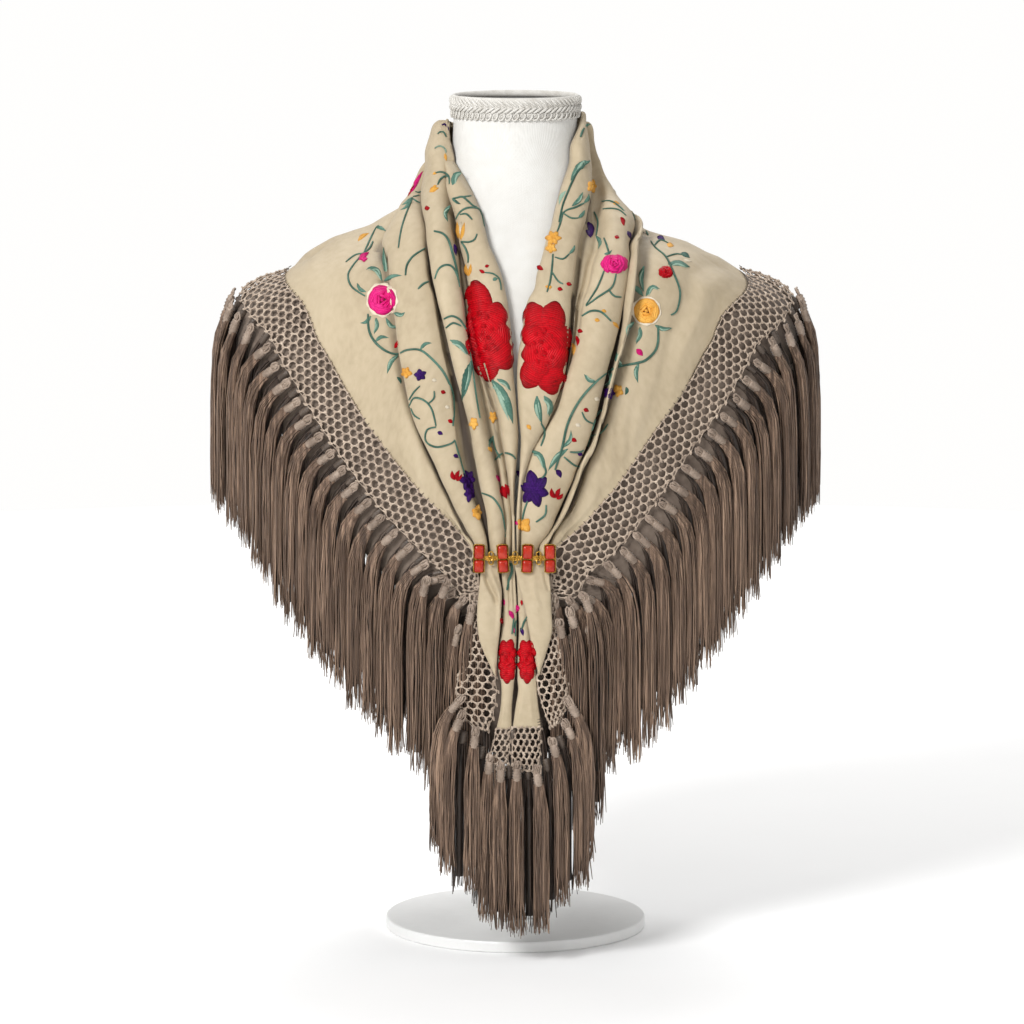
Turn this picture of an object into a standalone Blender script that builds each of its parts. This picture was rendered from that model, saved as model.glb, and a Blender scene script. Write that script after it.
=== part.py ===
# A fringed flamenco shawl on a limbless dress form. Metres, +Z up, front towards -Y, floor at Z = 0.
# Every length below is in millimetres until it reaches a mesh.
import math

import bmesh
import bpy
from mathutils import Vector

MM = 0.001
SEAM_GAP = 1.3          # between pieces that meet

# The front view in which the outlines were measured: places on the plane Y = 0, as this eye sees them.
EYE_DISTANCE = 5000
EYE_HEIGHT = 1110
EYE_SIDE = -3

# Dress form, top to bottom: height, half width, depth in front of the centre, depth behind it.
FORM_SECTIONS = (
    (731, 54, 46, 50), (715, 54, 46, 50), (700, 55, 47, 52), (685, 58, 50, 56), (670, 63, 55, 62),
    (655, 70, 62, 68), (640, 79, 70, 75), (628, 91, 78, 80), (618, 106, 85, 84), (608, 127, 91, 88),
    (598, 151, 97, 91), (588, 175, 102, 94), (577, 196, 107, 97), (564, 212, 112, 100),
    (548, 222, 118, 103), (528, 226, 124, 106), (504, 223, 129, 108), (480, 211, 131, 108),
    (455, 193, 130, 107), (428, 174, 126, 105), (400, 158, 119, 102), (370, 145, 111, 98),
    (335, 133, 103, 94), (295, 124, 96, 91), (262, 119, 92, 90), (235, 117, 90, 90),
)
FORM_SIDES = 32
WIDEST_AT = 528         # below these heights the cloth hangs straight down
DEEPEST_AT = 480

NECK_BRAID = {"low": 719, "high": 739, "gap": 0.6, "wall": 2.0}
NECK_CAP = {"low": 731.3, "wall": 2.0, "inset": 2.5}
POLE = {"radius": 12.5, "low": 18.3, "high": 228.7}
POLE_TOP = {"radius": 34, "low": 229.0, "high": 234.7}
POLE_FOOT = {"radius": 27, "low": 10.3, "high": 18.0}
BASE = {"radius": 115, "low": 0, "high": 10}

# The lines that bound the folds of each front, from the inner hem out to the net edge.
# top: where the line crosses the shoulder; behind: its heights at 135 and 180 degrees round to the back.
# line: (distance out from the centre line, height) in the front view, down to the clip.
LEFT_FOLDS = {
    "hem": {"top": 722, "behind": (711, 702), "line": (
        (55, 700), (47, 672), (33, 633), (20, 600), (8, 555), (0.8, 500), (-2, 455), (-6.8, 411),
        (-4, 378), (0, 342), (0, 318))},
    "first_out": {"top": 712, "behind": (695, 676), "line": (
        (55, 682), (54, 646), (50, 608), (41, 567), (34, 520), (28, 485), (17, 456), (9, 420),
        (6, 385), (3.5, 342), (3.5, 318))},
    "second_in": {"top": 704, "behind": (685, 664), "line": (
        (62, 690), (60, 646), (57, 608), (50, 563), (42, 520), (36, 490), (27, 460), (20, 425),
        (14, 385), (9, 342), (9, 318))},
    "second_out": {"top": 676, "behind": (652, 628), "line": (
        (80, 645), (77, 610), (69, 559), (54, 496), (44, 450), (35, 411), (24, 368), (18, 342),
        (18, 318))},
    "third_in": {"top": 664, "behind": (640, 614), "line": (
        (84, 640), (82, 600), (75, 555), (60, 500), (50, 455), (42, 413), (33, 378), (22, 342),
        (22, 318))},
    "third_out": {"top": 627, "behind": (603, 576), "line": (
        (110, 605), (110, 567), (106, 523), (99, 488), (87, 450), (70, 408), (51, 368), (31, 342),
        (30, 318))},
    "edge": {"top": 583, "behind": (512, 290), "line": (
        (189, 558), (170, 516), (151, 482), (122, 436), (90, 395), (65, 369), (41, 343), (37, 318))},
    "heads": {"top": 562, "behind": (462, 235), "line": (
        (239, 546), (223, 516), (205, 482), (184, 444), (163, 407), (137, 371), (109, 343), (92, 325),
        (72, 305), (57, 290), (47, 279))},
}
RIGHT_FOLDS = {
    "hem": {"top": 722, "behind": (711, 702), "line": (
        (56, 700), (48, 664), (39, 646), (26, 620), (20, 601), (15, 565), (7, 534), (2, 479),
        (6.5, 440), (9.6, 411), (6.6, 380), (2.5, 342), (2.5, 318))},
    "first_out": {"top": 710, "behind": (695, 676), "line": (
        (62, 678), (60, 651), (55, 614), (49, 571), (45, 530), (40, 486), (29, 457), (18, 424),
        (11, 390), (5, 342), (5, 318))},
    "second_in": {"top": 700, "behind": (685, 664), "line": (
        (73, 661), (73, 619), (63, 584), (60, 555), (49, 500), (38, 460), (25, 425), (16, 390),
        (9, 342), (9, 318))},
    "second_out": {"top": 668, "behind": (652, 628), "line": (
        (96, 632), (98, 598), (95, 559), (83, 497), (72, 461), (52, 420), (36, 382), (18, 342),
        (18, 318))},
    "third_in": {"top": 656, "behind": (640, 614), "line": (
        (102, 628), (104, 598), (101, 559), (90, 500), (78, 461), (57, 420), (41, 382), (22, 342),
        (22, 318))},
    "third_out": {"top": 634, "behind": (603, 576), "line": (
        (110, 608), (109, 576), (106, 532), (99, 485), (84, 440), (66, 405), (48, 372), (29, 342),
        (28, 318))},
    "edge": {"top": 583, "behind": (512, 290), "line": (
        (189, 552), (172, 520), (155, 488), (127, 447), (95, 401), (84, 386), (58, 357), (39, 343),
        (35, 318))},
    "heads": {"top": 562, "behind": (462, 235), "line": (
        (235, 545), (220, 515), (200, 482), (178, 442), (158, 409), (140, 374), (108, 334), (90, 317),
        (75, 301), (58, 284), (48, 274))},
}

# How far the cloth stands off the form on each line across it: the line before, the line after, the share
# of the way between them, then the stand-off behind the neck, on the shoulder, on the chest, at the clip.
ACROSS = (
    ("hem", "hem", 0.0, 5.5, 5.5, 5.5, 8.5),
    ("hem", "first_out", 0.5, 10.0, 10.0, 13.0, 10.0),
    ("first_out", "first_out", 0.0, 8.5, 8.5, 9.0, 9.5),
    ("first_out", "second_in", 0.5, 6.0, 6.0, 6.0, 8.5),
    ("second_in", "second_in", 0.0, 8.5, 8.5, 9.5, 9.5),
    ("second_in", "second_out", 0.5, 12.0, 12.0, 16.0, 10.5),
    ("second_out", "second_out", 0.0, 9.5, 9.5, 11.0, 9.5),
    ("second_out", "third_in", 0.5, 7.0, 7.0, 7.0, 8.5),
    ("third_in", "third_in", 0.0, 8.5, 8.5, 9.5, 9.0),
    ("third_in", "third_out", 0.5, 11.0, 11.0, 13.0, 10.0),
    ("third_out", "third_out", 0.0, 8.5, 9.0, 9.5, 9.0),
    ("third_out", "edge", 0.12, 7.5, 7.5, 7.5, 8.5),
    ("third_out", "edge", 0.28, 8.0, 8.0, 8.5, 8.5),
    ("third_out", "edge", 0.44, 8.5, 8.3, 8.5, 8.5),
    ("third_out", "edge", 0.6, 8.5, 8.2, 8.0, 8.0),
    ("third_out", "edge", 0.75, 8.2, 7.8, 7.5, 8.0),
    ("third_out", "edge", 0.88, 7.8, 7.5, 7.2, 7.8),
    ("edge", "edge", 0.0, 7.4, 7.2, 7.0, 7.5),
)
UNDER_ACROSS = (
    ("second_in", "second_out", 0.5), ("third_in", "third_out", 0.0), ("third_in", "third_out", 0.5),
    ("third_out", "edge", 0.0), ("third_out", "edge", 0.17), ("third_out", "edge", 0.34),
    ("third_out", "edge", 0.5), ("third_out", "edge", 0.67), ("third_out", "edge", 0.84),
    ("edge", "edge", 0.0), ("edge", "heads", 0.5), ("edge", "heads", 1.0), ("edge", "heads", 1.5),
)
CLOTH_WALL = 1.3
UNDER_CLOTH = {"stand_off": 3.4, "wall": 1.2}
NET = {"stand_off": 6.6, "outer_stand_off": 9.0, "wall": 1.2, "reach": 0.76}
FRINGE = {"wall": 9.0, "length": 176, "top_share": 0.782,
          # share of the length, stand-off in front, stand-off at the shoulder
          "drop": ((0.0, 9.0, 14.0), (0.12, 12.0, 27.0), (0.45, 13.0, 32.0), (1.0, 12.0, 33.0))}
ROWS_FRONT = 17
ROWS_BACK = 13
NOMINAL_STAND_OFF = 9

# Hanging ends under the clip, in the front view: height, left side, right side, depth of each side, depth
# of the middle. Depths are in front of the centre.
TAIL_CLOTH = {
    "tail_leaf_left": ((316.6, -36, -13, 141, 144), (296, -36, -12, 145.5, 152),
                       (270, -34, -12, 149, 157),
                       (246, -29, -15, 151.5, 158), (227, -19, -16, 154, 156)),
    "tail_leaf_right": ((316.6, 3, 31, 141, 144), (296, 6, 32, 146, 152), (270, 12, 31, 150, 157),
                        (246, 16, 26, 152, 158), (229, 18, 21, 154, 156)),
    "tail_strip_left": ((316.8, -11.5, 0.2, 139, 140), (285, -12, 0.2, 142, 145), (259, -14, 0.2, 145, 149),
                        (214, -14, -1.6, 147, 152), (181, -18, -4.1, 148, 152)),
    "tail_strip_right": ((316.8, 2.3, 15, 139, 140), (285, 2.3, 15, 142, 145), (259, 2.3, 17, 145, 149),
                         (214, 2.5, 19, 147, 152), (181, -2, 23, 148, 152)),
}
TAIL_NET = {
    "tail_net_left": ((292, -44, -37, 149.6, 150.6), (270, -46, -35, 151.6, 153),
                      (246, -48, -30, 153.6, 155),
                      (226, -50, -20.5, 156, 157), (205, -51, -17, 157, 159), (186, -46, -19.5, 157, 158),
                      (167, -35, -20.5, 157, 157.5), (153, -27, -22, 157, 157)),
    "tail_net_right": ((292, 44, 33.5, 150, 151), (270, 48, 33, 152, 153), (246, 50, 28, 154, 155),
                       (229, 50, 22.5, 156, 157), (207, 51, 22, 157, 159), (186, 47, 24.5, 157, 158),
                       (167, 37, 24.5, 157, 157.5), (153, 29, 24.5, 157, 157)),
    "tail_net_foot": ((180, -18, 23, 148, 152.5), (160, -19, 22.5, 152.5, 156.5),
                      (141, -20, 22.5, 157.5, 159.6)),
}
UNDER_CENTRE = ((314, -25, 25, 136.2, 137.2), (288, -42, 42, 136.2, 137.5), (255, -47, 47, 136.5, 138),
                (220, -46, 46, 137, 139), (188, -34, 34, 138, 140), (160, -14, 14, 140, 141))
TAIL_FRINGE = {"wall": 10.0,
               # height, left side, right side, depth of the back
               "across": ((-68, 190, 66, 151.5), (-54, 196, 50, 157.4), (-36, 166, 32, 159.2),
               (-18, 139, 8, 160.5),
                          (1, 138, -3, 161.3), (20, 138, 8, 160.5), (36, 164, 30, 159.2),
                          (52, 190, 46, 157.4),
                          (65, 184, 62, 151.5))}

CLIP = {"height": 329.5, "back": 144.0, "bars": (-32, -11, 10.5, 30.5),
        "width": 9.4, "tall": 24.5, "deep": 3.6,
        "stone_width": 7.2, "stone_deep": 2.2, "stones": ((5.4, 11.4), (-6.6, 9.6)),
        "link": (2.0, 3.0), "gap": 0.3, "link_gap": 0.35, "soft_edge": (0.8, 0.7)}

COLOURS = {
    # name: base colour, roughness, metallic
    "linen": ((0.86, 0.83, 0.77), 0.9, 0.0),
    "braid": ((0.78, 0.74, 0.66), 0.85, 0.0),
    "dark": ((0.02, 0.02, 0.02), 0.9, 0.0),
    "painted_metal": ((0.85, 0.85, 0.84), 0.35, 0.0),
    "silk": ((0.66, 0.55, 0.39), 0.5, 0.0),
    "under_silk": ((0.16, 0.13, 0.10), 0.6, 0.0),
    "net_cord": ((0.52, 0.42, 0.33), 0.6, 0.0),
    "fringe_silk": ((0.22, 0.16, 0.12), 0.55, 0.0),
    "gold": ((0.75, 0.52, 0.20), 0.3, 1.0),
    "coral": ((0.72, 0.07, 0.03), 0.3, 0.0),
}


def clear_scene():
    for item in list(bpy.data.objects):
        bpy.data.objects.remove(item, do_unlink=True)
    collection = bpy.data.collections.new("flamenco_shawl")
    bpy.context.scene.collection.children.link(collection)
    return collection


PARTS = clear_scene()


def material(name, colour_name):
    colour, roughness, metallic = COLOURS[colour_name]
    made = bpy.data.materials.new(name)
    made.use_nodes = True
    shader = made.node_tree.nodes["Principled BSDF"]
    shader.inputs["Base Color"].default_value = (*colour, 1)
    shader.inputs["Roughness"].default_value = roughness
    shader.inputs["Metallic"].default_value = metallic
    return made


def add_object(name, bm, colour_name, smooth_angle=40):
    mesh = bpy.data.meshes.new(name)
    bm.to_mesh(mesh)
    bm.free()
    mesh.materials.append(material(name, colour_name))
    mesh.shade_smooth()
    mesh.set_sharp_from_angle(angle=math.radians(smooth_angle))
    made = bpy.data.objects.new(name, mesh)
    PARTS.objects.link(made)
    return made


def add_wall(made, thickness, offset=1.0):
    wall = made.modifiers.new("wall", "SOLIDIFY")
    wall.thickness = thickness * MM
    wall.offset = offset
    wall.use_even_offset = False
    return wall


def smooth_value(stations, at):
    # Reads a smooth curve through (place, value) stations whose places run downwards.
    if at >= stations[0][0]:
        return stations[0][1]
    if at <= stations[-1][0]:
        return stations[-1][1]
    for index in range(len(stations) - 1):
        if at >= stations[index + 1][0]:
            break
    (x1, y1), (x2, y2) = stations[index], stations[index + 1]
    x0, y0 = stations[max(index - 1, 0)]
    x3, y3 = stations[min(index + 2, len(stations) - 1)]
    slope_1 = (y2 - y0) / (x2 - x0)
    slope_2 = (y3 - y1) / (x3 - x1)
    span = x2 - x1
    t = (at - x1) / span
    return ((2 * t ** 3 - 3 * t ** 2 + 1) * y1 + (t ** 3 - 2 * t ** 2 + t) * span * slope_1
            + (3 * t ** 2 - 2 * t ** 3) * y2 + (t ** 3 - t ** 2) * span * slope_2)


def section_size(height, column, hang):
    # hang: the cloth's surface, which never turns back in under the widest part.
    if hang:
        height = max(height, WIDEST_AT if column == 1 else DEEPEST_AT)
    return smooth_value([(row[0], row[column]) for row in FORM_SECTIONS], height)


def body_point(angle, height, hang=True):
    # angle: radians round from the front, positive towards the side that is being made.
    depth = section_size(height, 2 if math.cos(angle) > 0 else 3, hang)
    return Vector((section_size(height, 1, hang) * math.sin(angle), -depth * math.cos(angle), height))


def off_body(angle, height, stand_off):
    step = 0.01
    along = body_point(angle + step, height) - body_point(angle - step, height)
    down = body_point(angle, height - 2) - body_point(angle, height + 2)
    normal = down.cross(along).normalized()
    return body_point(angle, height) + normal * stand_off


def as_seen(point):
    # The place on the plane Y = 0 where the front view shows a point.
    scale = EYE_DISTANCE / (EYE_DISTANCE + point.y)
    return EYE_SIDE + (point.x - EYE_SIDE) * scale, EYE_HEIGHT + (point.z - EYE_HEIGHT) * scale


def at_depth(x, height, depth):
    # The point that the front view shows at (x, height), this far in front of the centre.
    scale = (EYE_DISTANCE - depth) / EYE_DISTANCE
    return Vector((EYE_SIDE + (x - EYE_SIDE) * scale, -depth, EYE_HEIGHT + (height - EYE_HEIGHT) * scale))


SOLVE_TURNS = 40
SOLVE_STEP = 0.7
CURVE_STEPS = 12
MM_PER_RADIAN = 150    # cloth for each radian round the form


def on_body(out, height, side, stand_off=NOMINAL_STAND_OFF):
    # The (angle, height) on the form whose stood-off point the front view shows at (out, height).
    share = min(max(out / section_size(height, 1, True), -1), 0.98)
    level = height
    for _ in range(SOLVE_TURNS):
        point = off_body(math.asin(share), level, stand_off)
        seen_x, seen_z = as_seen(Vector((point.x * side, point.y, point.z)))
        share += SOLVE_STEP * (out - seen_x * side) / (section_size(level, 1, True) + stand_off)
        share = min(max(share, -1), 0.995)
        level += SOLVE_STEP * (height - seen_z)
    return math.asin(share), level


def curve_through(a, b, c, d, t):
    # The smooth curve from b to c whose neighbours are a and d.
    bend = (2 * a - 5 * b + 4 * c - d) * t * t + (3 * b - a - 3 * c + d) * t ** 3
    return 0.5 * (2 * b + (c - a) * t + bend)


def resample(points, count, before=None):
    # Evenly spaced places along a smooth curve through points of the plane (angle, height).
    fine = []
    for index in range(len(points) - 1):
        p0, p1 = points[index - 1] if index else before or points[0], points[index]
        p2, p3 = points[index + 1], points[min(index + 2, len(points) - 1)]
        for step in range(CURVE_STEPS):
            t = step / CURVE_STEPS
            fine.append(tuple(curve_through(a, b, c, d, t) for a, b, c, d in zip(p0, p1, p2, p3)))
    fine.append(points[-1])
    lengths = [0.0]
    for (a1, h1), (a2, h2) in zip(fine, fine[1:]):
        lengths.append(lengths[-1] + math.hypot((a2 - a1) * MM_PER_RADIAN, h2 - h1))
    places = []
    index = 0
    for step in range(count):
        target = lengths[-1] * step / (count - 1)
        while index < len(fine) - 2 and lengths[index + 1] < target:
            index += 1
        part = (target - lengths[index]) / (lengths[index + 1] - lengths[index])
        places.append(tuple(a + (b - a) * part for a, b in zip(fine[index], fine[index + 1])))
    return places


def fold_paths(folds, side):
    # Each line as (angle, height) places: behind, from the middle of the back to the shoulder; in front.
    paths = {}
    for name, fold in folds.items():
        near_back, back = fold["behind"]
        quarter = math.pi / 2
        behind = [(2 * quarter, back), (1.5 * quarter, near_back), (quarter, fold["top"])]
        front = [(quarter, fold["top"])] + [on_body(out, height, side) for out, height in fold["line"]]
        # A fold runs level through the middle of the back; the edges come to a point there.
        level = None if name in ("edge", "heads") else (2.5 * quarter, near_back)
        paths[name] = {"back": resample(behind, ROWS_BACK, level), "front": resample(front, ROWS_FRONT)}
    return paths


PATHS = {-1: fold_paths(LEFT_FOLDS, -1), 1: fold_paths(RIGHT_FOLDS, 1)}


def between(side, stretch, row, first, second, share):
    a = PATHS[side][first][stretch][row]
    b = PATHS[side][second][stretch][row]
    return a[0] + (b[0] - a[0]) * share, a[1] + (b[1] - a[1]) * share


def placed(side, angle, height, stand_off):
    point = off_body(angle, height, stand_off)
    return Vector((point.x * side, point.y, point.z))


def stand_off_at(entry, stretch, row):
    behind, shoulder, chest, clip = entry[3:7]
    if stretch == "back":
        return behind + (shoulder - behind) * row / (ROWS_BACK - 1)
    part = row / (ROWS_FRONT - 1)
    along = [(1.0, clip), (0.86, (chest + clip) / 2), (0.5, chest), (0.2, chest), (0.0, shoulder)]
    return smooth_value(along, part)


def grid_sheet(name, columns, rows, place, colour_name, thickness, outwards=1.0):
    # An open sheet of columns x rows points, each moved to place(column, row), then given its wall.
    bm = bmesh.new()
    bmesh.ops.create_grid(bm, x_segments=columns - 1, y_segments=rows - 1, size=1)
    for vert in bm.verts:
        column = round((vert.co.x + 1) / 2 * (columns - 1))
        row = round((vert.co.y + 1) / 2 * (rows - 1))
        vert.co = place(column, row) * MM
    bmesh.ops.recalc_face_normals(bm, faces=bm.faces)
    middle = max(bm.faces, key=lambda face: abs(face.calc_center_median().y))
    if middle.normal.dot(middle.calc_center_median()) < 0:
        bmesh.ops.reverse_faces(bm, faces=bm.faces)
    made = add_object(name, bm, colour_name)
    add_wall(made, thickness, outwards)
    return made


def back_row(row):
    # Rows of the back run from the left shoulder round to the right one.
    side = -1 if row < ROWS_BACK else 1
    return side, ROWS_BACK - 1 - row if side < 0 else row - ROWS_BACK + 1


def sheet_in_three(prefix, columns, angle_height, stand_off, colour_name, thickness):
    # One layer as a back and two fronts, which stop short of each other at the shoulders.
    trim = SEAM_GAP / 2

    def place(side, stretch, column, row):
        angle, height = angle_height(side, stretch, column, row)
        point = placed(side, angle, height, stand_off(side, stretch, column, row))
        if stretch == "back" and row == ROWS_BACK - 1:
            point.y += trim
        if stretch == "front" and row == 0:
            point.y -= trim
        return point

    def place_back(column, row):
        side, back = back_row(row)
        return place(side, "back", column, back)

    made = [grid_sheet(prefix + "_back", columns, 2 * ROWS_BACK - 1, place_back, colour_name, thickness)]
    for side, name in ((-1, "left"), (1, "right")):
        made.append(grid_sheet(
            prefix + "_" + name, columns, ROWS_FRONT,
            lambda column, row, side=side: place(side, "front", column, row), colour_name, thickness))
    return made


def make_cloth():
    def angle_height(side, stretch, column, row):
        first, second, share = ACROSS[column][:3]
        return between(side, stretch, row, first, second, share)

    def stand_off(side, stretch, column, row):
        return stand_off_at(ACROSS[column], stretch, row)

    sheet_in_three("shawl_cloth", len(ACROSS), angle_height, stand_off, "silk", CLOTH_WALL)


def make_under_cloth():
    def angle_height(side, stretch, column, row):
        first, second, share = UNDER_ACROSS[column]
        return between(side, stretch, row, first, second, share)

    sheet_in_three("under_cloth", len(UNDER_ACROSS), angle_height,
                   lambda side, stretch, column, row: UNDER_CLOTH["stand_off"],
                   "under_silk", UNDER_CLOTH["wall"])


def make_nets():
    shares = (0.038, 0.27, 0.51, NET["reach"])

    def angle_height(side, stretch, column, row):
        return between(side, stretch, row, "edge", "heads", shares[column])

    def stand_off(side, stretch, column, row):
        part = column / (len(shares) - 1)
        return NET["stand_off"] + (NET["outer_stand_off"] - NET["stand_off"]) * part

    sheet_in_three("net", len(shares), angle_height, stand_off, "net_cord", NET["wall"])


def make_fringes():
    drop = FRINGE["drop"]

    def angle_height(side, stretch, column, row):
        share = FRINGE["top_share"] if column == 0 else 1.0
        angle, height = between(side, stretch, row, "edge", "heads", share)
        return angle, height - drop[column][0] * FRINGE["length"]

    def stand_off(side, stretch, column, row):
        angle, _ = angle_height(side, stretch, column, row)
        towards_side = math.sin(min(max(angle, 0), math.pi)) ** 4
        return drop[column][1] + (drop[column][2] - drop[column][1]) * towards_side

    sheet_in_three("fringe", len(drop), angle_height, stand_off, "fringe_silk", FRINGE["wall"])


HANGING_COLUMNS = 5


def hanging_sheet(name, table, colour_name, thickness=CLOTH_WALL):
    # Rows of (height, left, right, depth of the sides, depth of the middle).
    def place(column, row):
        height, left, right, side_depth, middle_depth = table[row]
        part = column / (HANGING_COLUMNS - 1)
        bulge = math.sin(part * math.pi)
        depth = side_depth + (middle_depth - side_depth) * bulge
        return at_depth(left + (right - left) * part, height, depth)

    return grid_sheet(name, HANGING_COLUMNS, len(table), place, colour_name, thickness)


def make_tail():
    for name, table in TAIL_CLOTH.items():
        hanging_sheet(name, table, "silk")
    for name, table in TAIL_NET.items():
        hanging_sheet(name, table, "net_cord", NET["wall"])
    hanging_sheet("under_cloth_centre", UNDER_CENTRE, "under_silk", UNDER_CLOTH["wall"])
    across = TAIL_FRINGE["across"]

    def place(column, row):
        x, high, low, depth = across[column]
        return at_depth(x, high + (low - high) * row / 3, depth)

    grid_sheet("fringe_tail", len(across), 4, place, "fringe_silk", TAIL_FRINGE["wall"])


def make_form():
    # A globe of rings, each ring moved to its section; the poles become the centres of the flat ends.
    rings = len(FORM_SECTIONS)
    bm = bmesh.new()
    bmesh.ops.create_uvsphere(bm, u_segments=FORM_SIDES, v_segments=rings + 1, radius=1)
    for vert in bm.verts:
        latitude = math.acos(min(max(vert.co.z, -1), 1)) / math.pi * (rings + 1)
        ring = round(latitude)
        if ring in (0, rings + 1):
            section = FORM_SECTIONS[0 if ring == 0 else -1]
            vert.co = Vector((0, 0, section[0])) * MM
            continue
        height = FORM_SECTIONS[ring - 1][0]
        angle = math.atan2(vert.co.x, -vert.co.y)
        vert.co = body_point(angle, height, hang=False) * MM
    bmesh.ops.recalc_face_normals(bm, faces=bm.faces)
    add_object("form_body", bm, "linen")


def neck_ring(gap):
    _, half_width, front, back = FORM_SECTIONS[0]
    return half_width + gap, front + gap, back + gap


def make_neck():
    half_width, front, back = neck_ring(NECK_BRAID["gap"])
    bm = bmesh.new()
    bmesh.ops.create_cone(bm, cap_ends=False, segments=FORM_SIDES, radius1=1, radius2=1, depth=1)
    for vert in bm.verts:
        high = vert.co.z > 0
        vert.co = Vector((vert.co.x * half_width, vert.co.y * (front if vert.co.y < 0 else back),
                          NECK_BRAID["high" if high else "low"])) * MM
    add_wall(add_object("neck_braid", bm, "braid"), NECK_BRAID["wall"])

    half_width, front, back = neck_ring(-NECK_CAP["inset"])
    bm = bmesh.new()
    bmesh.ops.create_cone(bm, cap_ends=True, segments=FORM_SIDES, radius1=1, radius2=1, depth=1)
    for vert in bm.verts:
        vert.co = Vector((vert.co.x * half_width, vert.co.y * (front if vert.co.y < 0 else back),
                          NECK_CAP["low"] + (NECK_CAP["wall"] if vert.co.z > 0 else 0))) * MM
    add_object("neck_cap", bm, "dark")


def make_disc(name, size, colour_name, bevel=0.0, segments=32):
    bm = bmesh.new()
    bmesh.ops.create_cone(bm, cap_ends=True, segments=segments, radius1=size["radius"] * MM,
                          radius2=size["radius"] * MM, depth=(size["high"] - size["low"]) * MM)
    bmesh.ops.translate(bm, verts=bm.verts, vec=(0, 0, (size["high"] + size["low"]) / 2 * MM))
    made = add_object(name, bm, colour_name)
    if bevel:
        edge = made.modifiers.new("edge", "BEVEL")
        edge.width = bevel * MM
        edge.segments = 2
        edge.limit_method = "ANGLE"
    return made


def make_stand():
    make_disc("base_disc", BASE, "painted_metal", bevel=1.5, segments=48)
    make_disc("pole_foot", POLE_FOOT, "painted_metal", bevel=1.5)
    make_disc("pole", POLE, "painted_metal", segments=24)
    make_disc("pole_top_plate", POLE_TOP, "painted_metal")


def make_block(name, middle, width, deep, tall, colour_name, bevel):
    bm = bmesh.new()
    bmesh.ops.create_cube(bm, size=1)
    bmesh.ops.scale(bm, verts=bm.verts, vec=(width * MM, deep * MM, tall * MM))
    bmesh.ops.translate(bm, verts=bm.verts, vec=middle * MM)
    made = add_object(name, bm, colour_name, smooth_angle=30)
    edge = made.modifiers.new("edge", "BEVEL")
    edge.width = bevel * MM
    edge.segments = 2
    return made


def make_clip():
    back = CLIP["back"]
    deep = CLIP["deep"]
    scale = (EYE_DISTANCE - back) / EYE_DISTANCE
    bar_edge, stone_edge = CLIP["soft_edge"]
    for number, x in enumerate(CLIP["bars"], start=1):
        middle = at_depth(x, CLIP["height"], back + deep / 2)
        make_block(f"clip_bar_{number}", middle, CLIP["width"] * scale, deep,
                   CLIP["tall"] * scale, "gold", bar_edge)
        for place, (up, tall) in zip(("upper", "lower"), CLIP["stones"]):
            stone_deep = CLIP["stone_deep"]
            stone = middle + Vector((0, -(deep + stone_deep) / 2 - CLIP["gap"], up * scale))
            make_block(f"clip_stone_{number}_{place}", stone, CLIP["stone_width"] * scale, stone_deep,
                       tall * scale, "coral", stone_edge)
    half_deep, half_tall = CLIP["link"]
    for number, (a, b) in enumerate(zip(CLIP["bars"], CLIP["bars"][1:]), start=1):
        middle = at_depth((a + b) / 2, CLIP["height"], back + deep / 2)
        half_gap = (b - a - CLIP["width"]) / 2 * scale - CLIP["link_gap"]
        bm = bmesh.new()
        bmesh.ops.create_uvsphere(bm, u_segments=12, v_segments=8, radius=1)
        bmesh.ops.scale(bm, verts=bm.verts, vec=(half_gap * MM, half_deep * MM, half_tall * MM))
        bmesh.ops.translate(bm, verts=bm.verts, vec=middle * MM)
        add_object(f"clip_link_{number}", bm, "gold")


make_form()
make_neck()
make_stand()
make_under_cloth()
make_cloth()
make_nets()
make_fringes()
make_tail()
make_clip()
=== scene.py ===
# A fringed flamenco shawl on a limbless dress form: the looks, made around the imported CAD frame.
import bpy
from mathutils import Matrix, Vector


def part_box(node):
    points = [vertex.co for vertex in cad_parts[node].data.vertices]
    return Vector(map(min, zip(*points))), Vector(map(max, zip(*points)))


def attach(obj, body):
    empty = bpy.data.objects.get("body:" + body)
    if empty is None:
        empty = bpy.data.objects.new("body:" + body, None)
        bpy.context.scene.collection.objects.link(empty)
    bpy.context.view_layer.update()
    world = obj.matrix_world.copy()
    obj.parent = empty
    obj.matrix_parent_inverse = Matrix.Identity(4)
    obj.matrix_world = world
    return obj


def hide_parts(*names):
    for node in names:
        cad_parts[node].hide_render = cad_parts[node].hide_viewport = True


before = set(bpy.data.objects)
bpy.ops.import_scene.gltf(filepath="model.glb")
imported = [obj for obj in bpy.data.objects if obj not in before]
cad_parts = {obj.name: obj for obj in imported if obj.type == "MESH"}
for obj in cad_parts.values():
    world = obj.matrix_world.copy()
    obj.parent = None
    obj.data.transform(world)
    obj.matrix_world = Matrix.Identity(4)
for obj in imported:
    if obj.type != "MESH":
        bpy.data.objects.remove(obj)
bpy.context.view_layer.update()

import math
import random

import bmesh
import bpy
import numpy as np
from mathutils import Matrix, Vector, noise
from mathutils.bvhtree import BVHTree
from mathutils.kdtree import KDTree

mm = 0.001  # lengths below are in millimetres until they reach a mesh
random.seed(7)

# The eye that the outlines were measured from, and the picture it sees.
eye = {
    "distance": 5000, "height": 1110, "side": -3, "lookAt": 371, "lens": 201.9, "sensor": 36,
    "picture": 1024}

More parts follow.
